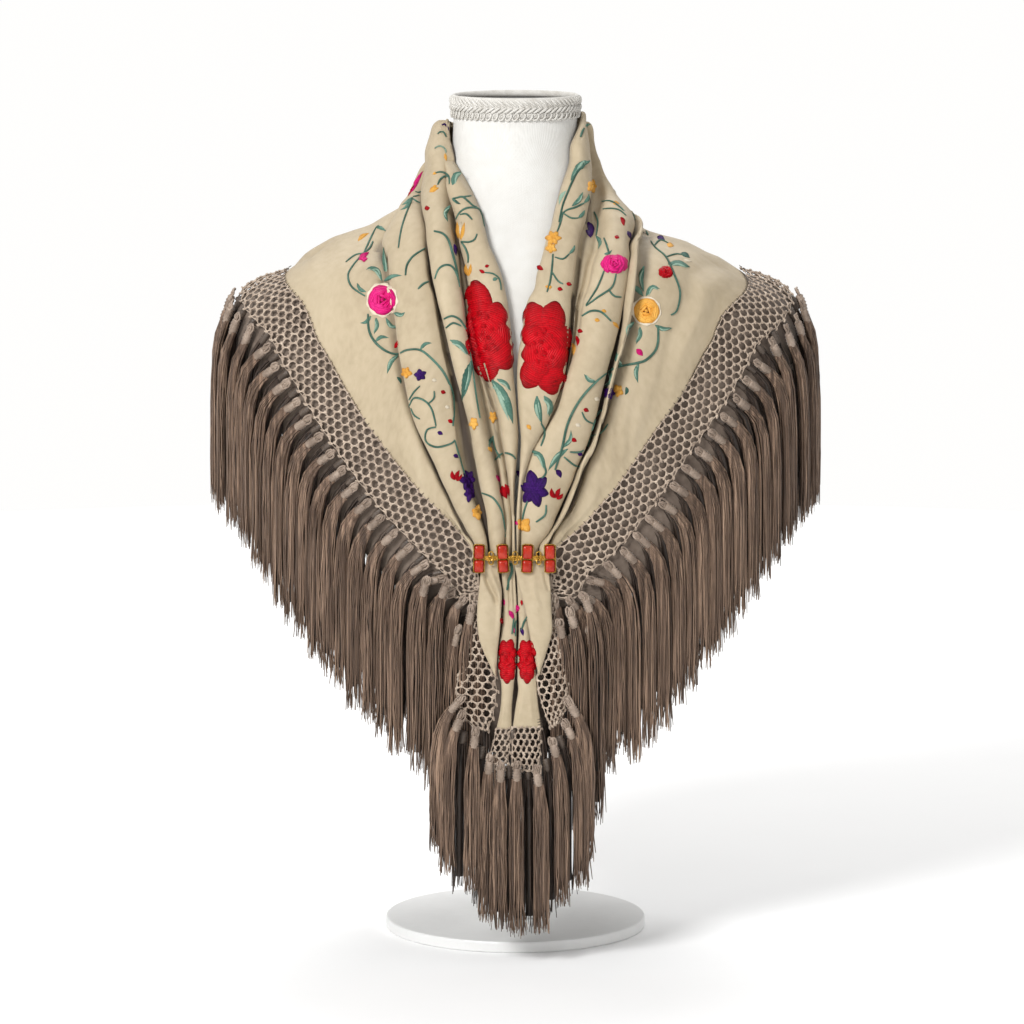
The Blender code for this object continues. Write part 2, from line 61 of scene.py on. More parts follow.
# The dress form, top to bottom: height, half width, depth in front of the centre, depth behind it.
formSections = (
    (731, 54, 46, 50), (715, 54, 46, 50), (700, 55, 47, 52), (685, 58, 50, 56), (670, 63, 55, 62),
    (655, 70, 62, 68), (640, 79, 70, 75), (628, 91, 78, 80), (618, 106, 85, 84), (608, 127, 91, 88),
    (598, 151, 97, 91), (588, 175, 102, 94), (577, 196, 107, 97), (564, 212, 112, 100),
    (548, 222, 118, 103), (528, 226, 124, 106), (504, 223, 129, 108), (480, 211, 131, 108),
    (455, 193, 130, 107), (428, 174, 126, 105), (400, 158, 119, 102), (370, 145, 111, 98),
    (335, 133, 103, 94), (295, 124, 96, 91), (262, 119, 92, 90), (235, 117, 90, 90))
hanging = {"widest": 528, "deepest": 480}  # below these heights the cloth hangs straight down
root = "root"


def unit(vectors):
    return vectors / np.linalg.norm(vectors, axis=-1, keepdims=True)


def lengthsAlong(points, axis=0):
    # how far each point lies along its line of points
    steps = np.linalg.norm(np.diff(points, axis=axis), axis=-1)
    start = np.zeros_like(np.take(steps, [0], axis=axis))
    return np.concatenate([start, np.cumsum(steps, axis=axis)], axis=axis)


def readAlong(at, lengths, values):
    # the places on a line of points at the given distances, coordinate by coordinate
    return np.stack([np.interp(at, lengths, values[:, c]) for c in range(values.shape[1])], axis=-1)


def smoothValue(stations, at):
    # reads a smooth curve through (place, value) stations whose places run downwards
    if at >= stations[0][0]:
        return stations[0][1]
    if at <= stations[-1][0]:
        return stations[-1][1]
    for index in range(len(stations) - 1):
        if at >= stations[index + 1][0]:
            break
    (x1, y1), (x2, y2) = stations[index], stations[index + 1]
    x0, y0 = stations[max(index - 1, 0)]
    x3, y3 = stations[min(index + 2, len(stations) - 1)]
    slopeOne = (y2 - y0) / (x2 - x0)
    slopeTwo = (y3 - y1) / (x3 - x1)
    span = x2 - x1
    t = (at - x1) / span
    first = (2 * t ** 3 - 3 * t ** 2 + 1) * y1 + (t ** 3 - 2 * t ** 2 + t) * span * slopeOne
    return first + (3 * t ** 2 - 2 * t ** 3) * y2 + (t ** 3 - t ** 2) * span * slopeTwo


levels = np.arange(200.0, 760.0, 0.5)
sizes = [np.array([smoothValue([(row[0], row[c]) for row in formSections], h) for h in levels])
         for c in (1, 2, 3)]


def bodyPoint(angle, height, hang=True):
    # angle: radians round from the front, positive towards the side that is being made
    wide = np.interp(np.maximum(height, hanging["widest"]) if hang else height, levels, sizes[0])
    level = np.maximum(height, hanging["deepest"]) if hang else height
    deep = np.where(np.cos(angle) > 0, np.interp(level, levels, sizes[1]),
                    np.interp(level, levels, sizes[2]))
    return np.stack([wide * np.sin(angle), -deep * np.cos(angle), height + 0 * angle], axis=-1)


def offBody(angle, height, standOff):
    angle, height = np.asarray(angle, float), np.asarray(height, float)
    along = bodyPoint(angle + 0.01, height) - bodyPoint(angle - 0.01, height)
    down = bodyPoint(angle, height - 2) - bodyPoint(angle, height + 2)
    normal = unit(np.cross(down, along))
    return bodyPoint(angle, height) + normal * np.asarray(standOff, float)[..., None]


def asSeen(point):
    # the place on the plane Y = 0 where the front view shows a point
    scale = eye["distance"] / (eye["distance"] + point[..., 1])
    return eye["side"] + (point[..., 0] - eye["side"]) * scale, eye["height"] + (point[..., 2]
            - eye["height"]) * scale


tilt = math.atan((eye["height"] - eye["lookAt"]) / eye["distance"])
focal = eye["lens"] / eye["sensor"] * eye["picture"]


def rayTo(u, v):
    # the direction in which the eye sees a place of the picture
    half = eye["picture"] / 2
    up = half - v
    return np.array([u - half, focal * math.cos(tilt) + up * math.sin(tilt),
                     up * math.cos(tilt) - focal * math.sin(tilt)])


def atDepth(u, v, depth):
    # the point that the picture shows at (u, v), this far in front of the centre
    ray = rayTo(u, v)
    reach = (eye["distance"] - depth) / ray[1]
    return np.array([eye["side"] + ray[0] * reach, -depth, eye["height"] + ray[2] * reach])


def pictureOf(point):
    # where the picture shows a point given in millimetres
    x = point[..., 0] - eye["side"]
    y = point[..., 1] + eye["distance"]
    z = point[..., 2] - eye["height"]
    away = y * math.cos(tilt) - z * math.sin(tilt)
    half = eye["picture"] / 2
    return half + focal * x / away, half - focal * (y * math.sin(tilt) + z * math.cos(tilt)) / away


def onBody(u, v, side, standOff):
    # the (angle, height) on the form whose stood-off point shows at (u, v)
    out, _, height = atDepth(u, v, 0)
    out *= side
    wide = bodyPoint(math.pi / 2, height)[0]
    share, level = min(max(out / wide, -1), 0.98), height
    for _ in range(40):
        point = offBody(math.asin(share), level, standOff)
        seenX, seenZ = asSeen(point * np.array([side, 1, 1]))
        share = min(max(share + 0.7 * (out - seenX * side) / (wide + standOff), -1), 0.995)
        level += 0.7 * (height - seenZ)
    return math.asin(share), level


def resample(points, count, before=None, around=150):
    # evenly spaced places along a smooth curve through (angle, height) points; around: mm for each radian
    fine = []
    for index in range(len(points) - 1):
        p0, p1 = points[index - 1] if index else before or points[0], points[index]
        p2, p3 = points[index + 1], points[min(index + 2, len(points) - 1)]
        for t in np.arange(0, 1, 1 / 12):
            fine.append([0.5 * (2 * b + (c - a) * t + (2 * a - 5 * b + 4 * c - d) * t * t
                                + (3 * b - a - 3 * c + d) * t ** 3) for a, b, c, d in zip(p0, p1, p2, p3)])
    fine = np.array(fine + [list(points[-1])])
    steps = np.hypot(np.diff(fine[:, 0]) * around, np.diff(fine[:, 1]))
    lengths = np.concatenate([[0], np.cumsum(steps)])
    wanted = np.linspace(0, lengths[-1], count)
    return np.stack([np.interp(wanted, lengths, fine[:, 0]), np.interp(wanted, lengths, fine[:, 1])],
                    axis=-1)


# The lines that bound the folds of each front, from the inner hem out to the net, as the picture shows them.
# top: where the line crosses the shoulder; behind: its heights at 135 and 180 degrees round to the back.
leftFolds = {
    "hem": {
        "top": 715, "behind": (709, 702),
        "line": (
            (443, 140), (445.5, 152), (461, 176), (477, 205), (490, 246), (499, 269), (505, 294),
            (508, 310), (512, 337), (515, 376), (518, 410), (520.5, 437), (519.5, 460), (516, 490),
            (514.5, 520), (514, 545), (514, 558))},
    "firstOut": {
        "top": 713.5, "behind": (703, 690),
        "line": (
            (445, 158), (450, 176), (451.5, 194), (456.5, 219), (459, 235), (464, 259), (467.5, 280),
            (471, 305), (475, 330), (480, 357), (489, 385), (496, 405), (500, 422), (502.5, 440),
            (506, 462), (509, 482), (511, 501), (512.5, 520), (513, 545), (513, 558))},
    "secondIn": {
        "top": 718, "behind": (700, 684),
        "line": (
            (447, 150), (448, 163), (449, 180), (450, 205), (453, 232), (458, 260), (462, 294),
            (465.5, 321), (468.5, 343), (471.5, 359), (479, 390), (484, 414), (488.5, 437), (495, 464),
            (500, 491), (503, 517), (503.5, 545), (503.5, 558))},
    "secondOut": {
        "top": 688, "behind": (664, 640),
        "line": (
            (424.5, 180), (425, 205), (428, 232), (431, 259), (435.5, 285), (440.5, 312), (448, 345),
            (455.5, 371), (460.5, 389), (465.5, 409), (470.5, 430), (475, 455), (480, 482), (486, 509),
            (489, 532), (490.5, 546), (491, 558))},
    "thirdIn": {
        "top": 681, "behind": (656, 630),
        "line": (
            (421, 186), (422.5, 205), (426, 232), (429, 259), (433, 285), (438, 303), (444, 332),
            (448, 353), (452.5, 375), (455.5, 401), (458.5, 430), (462, 459), (468, 484), (476, 505),
            (483, 528), (486.5, 546), (487, 558))},
    "thirdOut": {
        "top": 640, "behind": (610, 580),
        "line": (
            (388, 234), (388, 260), (391, 290), (396, 320), (400, 357), (404.5, 382), (410, 407),
            (416, 426), (427, 451), (437.5, 473), (448, 496), (457, 517), (465, 532), (473, 545),
            (476.5, 558))},
    "edge": {
        "top": 579, "behind": (512, 290),
        "line": (
            (300, 301), (321, 348), (343, 387), (377, 439), (413, 485), (441, 514), (469, 544),
            (475, 560))}}
rightFolds = {
    "hem": {
        "top": 722, "behind": (711, 702),
        "line": (
            (577.5, 140), (574, 160), (566, 180), (558.5, 201), (551.5, 223), (544.5, 241), (537.5, 270),
            (535, 288), (528, 301), (524, 320), (521, 339), (518, 352), (516.4, 376), (518.6, 410),
            (521.2, 437), (520.2, 460), (518.5, 490), (517, 520), (517, 545), (517, 558))},
    "firstOut": {
        "top": 717, "behind": (704, 690),
        "line": (
            (590.5, 165), (590, 180), (588, 201), (584.5, 223), (579, 241), (576.5, 267), (573, 294),
            (572, 310), (570, 339), (567.5, 368), (562, 390), (554, 410), (545, 428), (535, 443),
            (529, 455), (524.5, 470), (521, 485), (519, 505), (518.5, 525), (518, 545), (518, 558))},
    "secondIn": {
        "top": 713, "behind": (699, 684),
        "line": (
            (601, 183), (600.5, 205), (601, 232), (600, 244), (592.5, 264), (585.5, 290), (580, 308),
            (578, 330), (574.5, 349), (570, 366), (564, 385), (557, 407), (546, 426), (534, 443),
            (530, 453), (526, 468), (522, 485), (520.5, 505), (520, 525), (519.5, 545), (519.5, 558))},
    "secondOut": {
        "top": 682, "behind": (664, 640),
        "line": (
            (624, 196), (627.5, 214), (629.5, 241), (629, 259), (627, 276), (624, 300), (620, 330),
            (615, 352), (610, 370), (604, 394), (597, 418), (588, 444), (578, 466), (573, 482), (564, 503),
            (556, 518), (545, 536), (539, 546), (538, 558))},
    "thirdIn": {
        "top": 674, "behind": (656, 630),
        "line": (
            (628, 200), (631, 218), (632, 241), (631, 259), (629, 276), (626, 300), (622, 330), (617, 352),
            (612, 370), (606, 394), (599, 418), (590, 444), (580, 466), (575, 482), (566, 503), (558, 518),
            (548, 536), (542, 546), (541, 558))},
    "thirdOut": {
        "top": 644, "behind": (610, 580),
        "line": (
            (637, 222), (639, 241), (637, 259), (634, 276), (630.5, 300), (626.5, 330), (621, 352),
            (616, 370), (610, 394), (603, 418), (594, 444), (584, 467), (579, 483), (570, 504), (562, 519),
            (552, 537), (547, 546), (546, 558))},
    "edge": {
        "top": 579, "behind": (512, 290),
        "line": (
            (731, 307), (712, 344), (692, 380), (660, 426), (624, 478), (611, 495), (581, 528), (558, 547),
            (553, 560))}}
# The net goes on a little below the clip, narrowing behind the tails: (picture height, share of its width
# left).
bandEnd = {-1: ((478, 578), (477.5, 596), (477, 611)), 1: ((551, 578), (551.5, 596), (552, 612))}
bandNarrows = {
    -1: ((545, 1.0), (578, 0.7), (594, 0.45), (612, 0.26)),
    1: ((545, 1.0), (578, 0.8), (596, 0.52), (612, 0.3))}
for side, folds in ((-1, leftFolds), (1, rightFolds)):
    folds["band"] = dict(folds["edge"], line=folds["edge"]["line"] + bandEnd[side])
rowCount = {"front": 121, "back": 46}
quarter = math.pi / 2


def foldPaths(folds, side, standOff=9):
    # each line as (angle, height) rows from the middle of the back, over the shoulder, down to the clip
    paths = {}
    for name, fold in folds.items():
        nearBack, back = fold["behind"]
        behind = [(2 * quarter, back), (1.5 * quarter, nearBack), (quarter, fold["top"])]
        front = [(quarter, fold["top"])] + [onBody(u, v, side, standOff) for u, v in fold["line"]]
        level = None if name in ("edge", "band") else (2.5 * quarter, nearBack)
        rows = [resample(behind, rowCount["back"], level), resample(front, rowCount["front"])[1:]]
        paths[name] = np.concatenate(rows)
    return paths


paths = {-1: foldPaths(leftFolds, -1), 1: foldPaths(rightFolds, 1)}
sideRows = rowCount["back"] + rowCount["front"] - 1
shoulderRow = rowCount["back"] - 1
print("fold lines placed")


def between(side, first, second, share):
    a, b = paths[side][first], paths[side][second]
    return a + (b - a) * share


def placed(side, angle, height, standOff):
    return offBody(angle, height, standOff) * np.array([side, 1, 1])


def bothSides(make):
    # rows of both sides as one run: left clip, left shoulder, middle of the back, right shoulder, right clip
    left, right = make(-1), make(1)
    return np.concatenate([left[::-1], right[1:]])


def surfaceSteps(angle, height, standOff=8.0):
    # how far a point moves for each radian and each millimetre of height, and the outward normal
    around = (offBody(angle + 0.01, height, standOff) - offBody(angle - 0.01, height, standOff)) / 0.02
    down = (offBody(angle, height + 1.5, standOff) - offBody(angle, height - 1.5, standOff)) / 3.0
    return around, down, unit(np.cross(around, down))


def reachOf(side):
    # how much of the net's width is left in each row
    line = paths[side]["band"]
    _, seen = pictureOf(placed(side, line[:, 0], line[:, 1], 9.0))
    reach = np.interp(seen, *zip(*bandNarrows[side]))
    reach[:shoulderRow] = 1
    return reach


def walkOut(line, distances, reach=1.0, soften=9):
    # from every row of a line, places at growing distances across the surface, square to the line
    angle, height = line[:, 0].copy(), line[:, 1].copy()
    _, _, normal = surfaceSteps(angle, height)
    outward = np.cross(np.gradient(offBody(angle, height, 8.0), axis=0), normal)
    outward = unit(outward * np.sign(-outward[:, 2:3] + 1e-9))
    mirrored = outward[1:soften + 1][::-1] * np.array([-1, 1, 1])
    padded = np.concatenate([mirrored, outward, np.repeat(outward[-1:], soften, axis=0)])
    kernel = np.hanning(2 * soften + 3)[1:-1]
    heading = np.stack([np.convolve(padded[:, c], kernel / kernel.sum(), "valid") for c in range(3)],
                       axis=-1)
    made, gone = [], 0.0
    for distance in distances:
        steps = max(int((distance - gone) / 2.0), 1)
        for _ in range(steps):
            around, down, normal = surfaceSteps(angle, height)
            heading = unit(heading - normal * (heading * normal).sum(axis=1, keepdims=True))
            aa, bb, ab = (around * around).sum(1), (down * down).sum(1), (around * down).sum(1)
            ah, bh = (around * heading).sum(1), (down * heading).sum(1)
            scale = (distance - gone) / steps * reach / (aa * bb - ab * ab)
            angle = angle + scale * (bb * ah - ab * bh)
            height = height + scale * (aa * bh - ab * ah)
        gone = distance
        made.append(np.stack([angle, height], axis=-1))
    return np.stack(made, axis=1)


def alongRows(stations):
    # values at the middle of the back, the shoulder, the upper chest, the lower chest and the clip, row
    # by row
    behind, shoulder, chest, gather, clip = stations
    places = [0, shoulderRow, shoulderRow + 0.28 * rowCount["front"],
              shoulderRow + 0.72 * rowCount["front"],
              shoulderRow + 0.9 * rowCount["front"], sideRows - 1]
    values = [behind, shoulder, chest, (chest + 2 * gather) / 3, gather, clip]
    run = np.interp(np.arange(sideRows), places, values)
    kernel = np.hanning(15)
    padded = np.concatenate([np.full(7, run[0]), run, np.full(7, run[-1])])
    return np.convolve(padded, kernel / kernel.sum(), "valid")


def throughAcross(points, counts):
    # a smooth surface through the control lines: points are (rows, lines, 3), counts the steps after each
    # line
    chords = np.linalg.norm(np.diff(points, axis=1), axis=2) ** 0.5 + 1e-6
    places = np.concatenate([np.zeros((len(points), 1)), np.cumsum(chords, axis=1)], axis=1)
    slopes = np.zeros_like(points)
    before, after = places[:, 1:-1] - places[:, :-2], places[:, 2:] - places[:, 1:-1]
    stepBefore = (points[:, 1:-1] - points[:, :-2]) / before[..., None]
    stepAfter = (points[:, 2:] - points[:, 1:-1]) / after[..., None]
    slopes[:, 1:-1] = (stepBefore * after[..., None] + stepAfter * before[..., None]) / (before
            + after)[..., None]
    slopes[:, 0] = (points[:, 1] - points[:, 0]) / (places[:, 1] - places[:, 0])[:, None]
    slopes[:, -1] = (points[:, -1] - points[:, -2]) / (places[:, -1] - places[:, -2])[:, None]
    columns = []
    for index, count in enumerate(counts):
        span = (places[:, index + 1] - places[:, index])[:, None]
        for t in np.arange(count) / count:
            columns.append((2 * t ** 3 - 3 * t ** 2 + 1) * points[:, index]
                           + (t ** 3 - 2 * t ** 2 + t) * span * slopes[:, index]
                           + (3 * t ** 2 - 2 * t ** 3) * points[:, index + 1]
                           + (t ** 3 - t ** 2) * span * slopes[:, index + 1])
    columns.append(points[:, -1])
    return np.stack(columns, axis=1)


def normalsOf(grid):
    down, across = np.gradient(grid, axis=0), np.gradient(grid, axis=1)
    normal = np.cross(across, down)
    return normal / (np.linalg.norm(normal, axis=2, keepdims=True) + 1e-9)


def linked(name, data):
    made = bpy.data.objects.new(name, data)
    bpy.context.scene.collection.objects.link(made)
    return made


def meshFrom(name, bm, material=None):
    mesh = bpy.data.meshes.new(name)
    bm.to_mesh(mesh)
    bm.free()
    if material:
        mesh.materials.append(material)
    return mesh


def finishObject(name, bm, material):
    mesh = meshFrom(name, bm, material)
    mesh.shade_smooth()
    made = linked(name, mesh)
    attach(made, root)
    return made


def addWall(made, thickness, offset=1.0):
    wall = made.modifiers.new("wall", "SOLIDIFY")
    wall.thickness = thickness * mm
    wall.offset = offset
    wall.use_even_offset = False
    return wall


def metresOnly(bm):
    bmesh.ops.scale(bm, vec=(mm, mm, mm), verts=bm.verts)
    bm.normal_update()
    return bm


def scaledToMetres(bm):
    metresOnly(bm)
    bmesh.ops.recalc_face_normals(bm, faces=bm.faces)
    return bm


def sheetFrom(name, grid, material, thickness, offset=1.0, closed=False):
    # a sheet through a grid of points (rows, columns, 3) in millimetres; its UV map is in metres of cloth
    rows, columns = grid.shape[:2]
    bm = bmesh.new()
    bmesh.ops.create_grid(bm, x_segments=columns - 1, y_segments=rows - 1, size=1)
    uvLayer = bm.loops.layers.uv.new("cloth")
    acrossLength, alongLength = lengthsAlong(grid, 1), lengthsAlong(grid[:, columns // 2])
    place = {}
    for vert in bm.verts:
        column = round((vert.co.x + 1) / 2 * (columns - 1))
        row = round((vert.co.y + 1) / 2 * (rows - 1))
        place[vert] = (row, column)
    for vert, (row, column) in place.items():
        vert.co = Vector(grid[row, column]) * mm
    for face in bm.faces:
        for loop in face.loops:
            row, column = place[loop.vert]
            loop[uvLayer].uv = (acrossLength[row, column] * mm, alongLength[row] * mm)
    if closed:
        bmesh.ops.remove_doubles(bm, verts=bm.verts, dist=0.001 * mm)
    bm.normal_update()
    outward = sum(face.normal.dot(face.calc_center_median() * Vector((1, 1, 0))) * face.calc_area()
                  for face in bm.faces)
    if outward < 0:
        bmesh.ops.reverse_faces(bm, faces=bm.faces)
    made = finishObject(name, bm, material)
    addWall(made, thickness, offset)
    return made


def addNode(tree, kind, inputs=None, **settings):
    made = tree.nodes.new(kind)
    for key, value in settings.items():
        setattr(made, key, value)
    for key, value in (inputs or {}).items():
        if isinstance(value, bpy.types.NodeSocket):
            tree.links.new(value, made.inputs[key])
        else:
            made.inputs[key].default_value = value
    return made


def newGroup(name, inputs, outputs):
    tree = bpy.data.node_groups.new(name, "ShaderNodeTree")
    for label, kind, value in inputs:
        socket = tree.interface.new_socket(name=label, in_out="INPUT", socket_type="NodeSocket" + kind)
        if kind != "Vector":
            socket.default_value = value
    for label, kind in outputs:
        tree.interface.new_socket(name=label, in_out="OUTPUT", socket_type="NodeSocket" + kind)
    return tree, tree.nodes.new("NodeGroupInput"), tree.nodes.new("NodeGroupOutput")


def useGroup(tree, group, inputs):
    made = tree.nodes.new("ShaderNodeGroup")
    made.node_tree = group
    for key, value in inputs.items():
        if isinstance(value, bpy.types.NodeSocket):
            tree.links.new(value, made.inputs[key])
        else:
            made.inputs[key].default_value = value
    return made


def math1(tree, operation, *values):
    made = tree.nodes.new("ShaderNodeMath")
    made.operation = operation
    for index, value in enumerate(values):
        if isinstance(value, bpy.types.NodeSocket):
            tree.links.new(value, made.inputs[index])
        else:
            made.inputs[index].default_value = value
    return made.outputs[0]


def makeWeaveGroup():
    # warp and weft crossing over and under, with thicker yarns here and there
    tree, given, out = newGroup("weave", (("Vector", "Vector", 0), ("Threads", "Float", 1500.0),
                                          ("Slub", "Float", 0.4)),
                                (("Height", "Float"), ("Slubs", "Float")))
    scaled = addNode(tree, "ShaderNodeVectorMath", {0: given.outputs["Vector"]}, operation="SCALE")
    tree.links.new(given.outputs["Threads"], scaled.inputs["Scale"])
    parts = addNode(tree, "ShaderNodeSeparateXYZ", {0: scaled.outputs[0]})
    warp = math1(tree, "SINE", math1(tree, "MULTIPLY", parts.outputs[0], 2 * math.pi))
    weft = math1(tree, "SINE", math1(tree, "MULTIPLY", parts.outputs[1], 2 * math.pi))
    crossing = math1(tree, "MULTIPLY", warp, weft)
    stretch = addNode(tree, "ShaderNodeVectorMath", {0: given.outputs["Vector"], 1: (900, 60, 60)},
                      operation="MULTIPLY")
    slub = addNode(tree, "ShaderNodeTexNoise", {"Vector": stretch.outputs[0], "Scale": 1.0, "Detail": 3.0})
    lifted = math1(tree, "MULTIPLY", slub.outputs["Fac"], given.outputs["Slub"])
    tree.links.new(math1(tree, "ADD", math1(tree, "MULTIPLY", crossing, 0.5), lifted), out.inputs["Height"])
    tree.links.new(slub.outputs["Fac"], out.inputs["Slubs"])
    return tree


def makeTintGroup():
    # a colour that drifts between three values over the surface, as dyed cloth and thread do
    tree, given, out = newGroup("dyedTint", (
        ("Vector", "Vector", 0), ("Scale", "Float", 20.0), ("Dark", "Color", (0, 0, 0, 1)),
        ("Middle", "Color", (0, 0, 0, 1)), ("Light", "Color", (0, 0, 0, 1)), ("Fine", "Float", 0.3)),
        (("Color", "Color"),))
    broad = addNode(tree, "ShaderNodeTexNoise", {"Vector": given.outputs["Vector"],
                                                 "Scale": given.outputs["Scale"], "Detail": 2.0})
    finer = math1(tree, "MULTIPLY", given.outputs["Scale"], 9.0)
    fine = addNode(tree, "ShaderNodeTexNoise", {"Vector": given.outputs["Vector"], "Scale": finer,
                                                "Detail": 4.0})
    mixed = addNode(tree, "ShaderNodeMix", {0: given.outputs["Fine"], 2: broad.outputs["Fac"],
                                            3: fine.outputs["Fac"]})
    low = addNode(tree, "ShaderNodeMapRange", {0: mixed.outputs[0], 1: 0.3, 2: 0.5})
    high = addNode(tree, "ShaderNodeMapRange", {0: mixed.outputs[0], 1: 0.5, 2: 0.7})
    first = addNode(tree, "ShaderNodeMix", {0: low.outputs[0], 6: given.outputs["Dark"],
                                            7: given.outputs["Middle"]}, data_type="RGBA")
    second = addNode(tree, "ShaderNodeMix", {0: high.outputs[0], 6: first.outputs[2],
                                             7: given.outputs["Light"]}, data_type="RGBA")
    tree.links.new(second.outputs[2], out.inputs["Color"])
    return tree


def makeStitchGroup():
    # threads laid side by side: stripes across the first coordinate, each with its own tone
    tree, given, out = newGroup("laidThreads", (("Vector", "Vector", 0), ("Threads", "Float", 1500.0),
                                                ("Wander", "Float", 0.3)),
                                (("Height", "Float"), ("Tone", "Float")))
    wander = addNode(tree, "ShaderNodeTexNoise", {"Vector": given.outputs["Vector"], "Scale": 400.0,
                                                  "Detail": 1.0})
    parts = addNode(tree, "ShaderNodeSeparateXYZ", {0: given.outputs["Vector"]})
    place = math1(tree, "ADD", math1(tree, "MULTIPLY", parts.outputs[0], given.outputs["Threads"]),
                  math1(tree, "MULTIPLY", wander.outputs["Fac"], given.outputs["Wander"]))
    height = math1(tree, "ABSOLUTE", math1(tree, "SINE", math1(tree, "MULTIPLY", place, math.pi)))
    tone = addNode(tree, "ShaderNodeTexWhiteNoise", {"W": math1(tree, "FLOOR", place)},
                   noise_dimensions="1D")
    tree.links.new(height, out.inputs["Height"])
    tree.links.new(tone.outputs["Value"], out.inputs["Tone"])
    return tree


weaveGroup, tintGroup, stitchGroup = makeWeaveGroup(), makeTintGroup(), makeStitchGroup()


def newMaterial(name, **constants):
    made = bpy.data.materials.new(name)
    made.use_nodes = True
    shader = made.node_tree.nodes["Principled BSDF"]
    for key, value in constants.items():
        shader.inputs[key.replace("_", " ")].default_value = value
    return made, made.node_tree, shader


def tinted(tree, where, scale, tones, fine):
    # the drifting colour between the dark, middle and light tone
    dark, middle, light = [(*tone, 1) for tone in tones]
    return useGroup(tree, tintGroup, {"Vector": where, "Scale": scale, "Dark": dark, "Middle": middle,
                                      "Light": light, "Fine": fine}).outputs["Color"]


def bumpInto(tree, shader, height, distance, strength=1.0):
    bump = addNode(tree, "ShaderNodeBump", {"Height": height, "Strength": strength, "Distance": distance})
    tree.links.new(bump.outputs[0], shader.inputs["Normal"])


def clothMaterial(name, settings, source="UV"):
    # woven cloth: weave and slubs in the bump, drifting colour, uneven gloss, and painted shade mixed into
    # the colour in the grooves
    made, tree, shader = newMaterial(name, Sheen_Weight=settings["sheen"], Sheen_Roughness=0.4,
                                     Specular_IOR_Level=settings["specular"])
    where = addNode(tree, "ShaderNodeTexCoord").outputs[source]
    tint = tinted(tree, where, settings["tintScale"], settings["tones"], 0.45)
    # painted shade: the colour turns to the dark groove tone where the mask is set
    mask = addNode(tree, "ShaderNodeAttribute", {}, attribute_name="grooveShade")
    deep = (*settings.get("grooveShade", settings["tones"][0]), 1)
    shaded = addNode(tree, "ShaderNodeMix", {0: mask.outputs["Fac"], 6: tint, 7: deep}, data_type="RGBA")
    tree.links.new(shaded.outputs[2], shader.inputs["Base Color"])
    weave = useGroup(tree, weaveGroup, {"Vector": where, "Threads": settings["threads"],
                                        "Slub": settings["slub"]})
    gloss = addNode(tree, "ShaderNodeMapRange", {0: weave.outputs["Slubs"], 1: 0.25, 2: 0.75,
                                                 3: settings["roughness"] - 0.07,
                                                 4: settings["roughness"] + 0.07})
    tree.links.new(gloss.outputs[0], shader.inputs["Roughness"])
    bumpInto(tree, shader, weave.outputs["Height"], settings["bump"] * mm)
    return made


# the silk's last entry is the dark colour of the painted shade in the folds' grooves
silk = {
    "tones": ((0.395, 0.315, 0.205), (0.465, 0.378, 0.252), (0.52, 0.43, 0.295)), "tintScale": 14.0,
    "threads": 1400.0, "slub": 0.5, "roughness": 0.52, "bump": 0.12, "sheen": 0.12, "specular": 0.35,
    "grooveShade": (0.05, 0.034, 0.022)}
# a darker copy of the beige silk: painted shade under the net, between the tassels and behind the tails
shadedUnderSilk = {
    "tones": ((0.085, 0.062, 0.046), (0.15, 0.113, 0.087), (0.215, 0.168, 0.132)), "tintScale": 20.0,
    "threads": 1200.0, "slub": 0.5, "roughness": 0.62, "bump": 0.12, "sheen": 0.2, "specular": 0.3}
linen = {
    "tones": ((0.62, 0.605, 0.57), (0.665, 0.655, 0.625), (0.70, 0.695, 0.67)), "tintScale": 9.0,
    "threads": 900.0, "slub": 0.9, "roughness": 0.85, "bump": 0.15, "sheen": 0.1, "specular": 0.2}
silkMaterial = clothMaterial("beigeSilk", silk)
shadedUnderMaterial = clothMaterial("underSilkPaintedShade", shadedUnderSilk)
linenMaterial = clothMaterial("whiteLinen", linen, "Object")
print("materials made")


# The form: one smooth closed body, its rings moved to the sections.
form = {"sides": 96, "rings": 90, "rim": 731, "foot": 235}


def makeForm():
    bm = bmesh.new()
    bmesh.ops.create_uvsphere(bm, u_segments=form["sides"], v_segments=form["rings"] + 1, radius=1)
    for vert in bm.verts:
        ring = round(math.acos(min(max(vert.co.z, -1), 1)) / math.pi * (form["rings"] + 1))
        if ring in (0, form["rings"] + 1):
            vert.co = Vector((0, 0, form["rim"] if ring == 0 else form["foot"])) * mm
            continue
        level = form["rim"] + (form["foot"] - form["rim"]) * (ring - 1) / (form["rings"] - 1)
        angle = np.array(math.atan2(vert.co.x, -vert.co.y))
        vert.co = Vector(bodyPoint(angle, np.array(level), hang=False)) * mm
    bmesh.ops.recalc_face_normals(bm, faces=bm.faces)
    made = finishObject("linen_form", bm, linenMaterial)
    made.data.set_sharp_from_angle(angle=math.radians(50))
    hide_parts("form_body")
    return made


formBody = makeForm()
print("form made")


# The embroidered cloth: crest stand-off of each fold behind the neck, on the shoulder, on the upper chest,
# above the clip and at the clip; then the lines across it as (line, next line, share between them, fold,
# share of
# its height), and the number of steps after each line.
foldHeights = {
    "groove": (4.6, 3.6, 2.2, 2.2, 3.2), "first": (8, 5, 19, 15, 11.5), "recess": (5, 4.2, 4.0, 7.0, 9),
    "second": (12, 12, 22, 17, 12.5), "third": (11, 11.5, 19, 16, 12), "panel": (8, 8, 8.5, 9, 10),
    "edge": (7.4, 7.2, 7.0, 7.5, 8)}
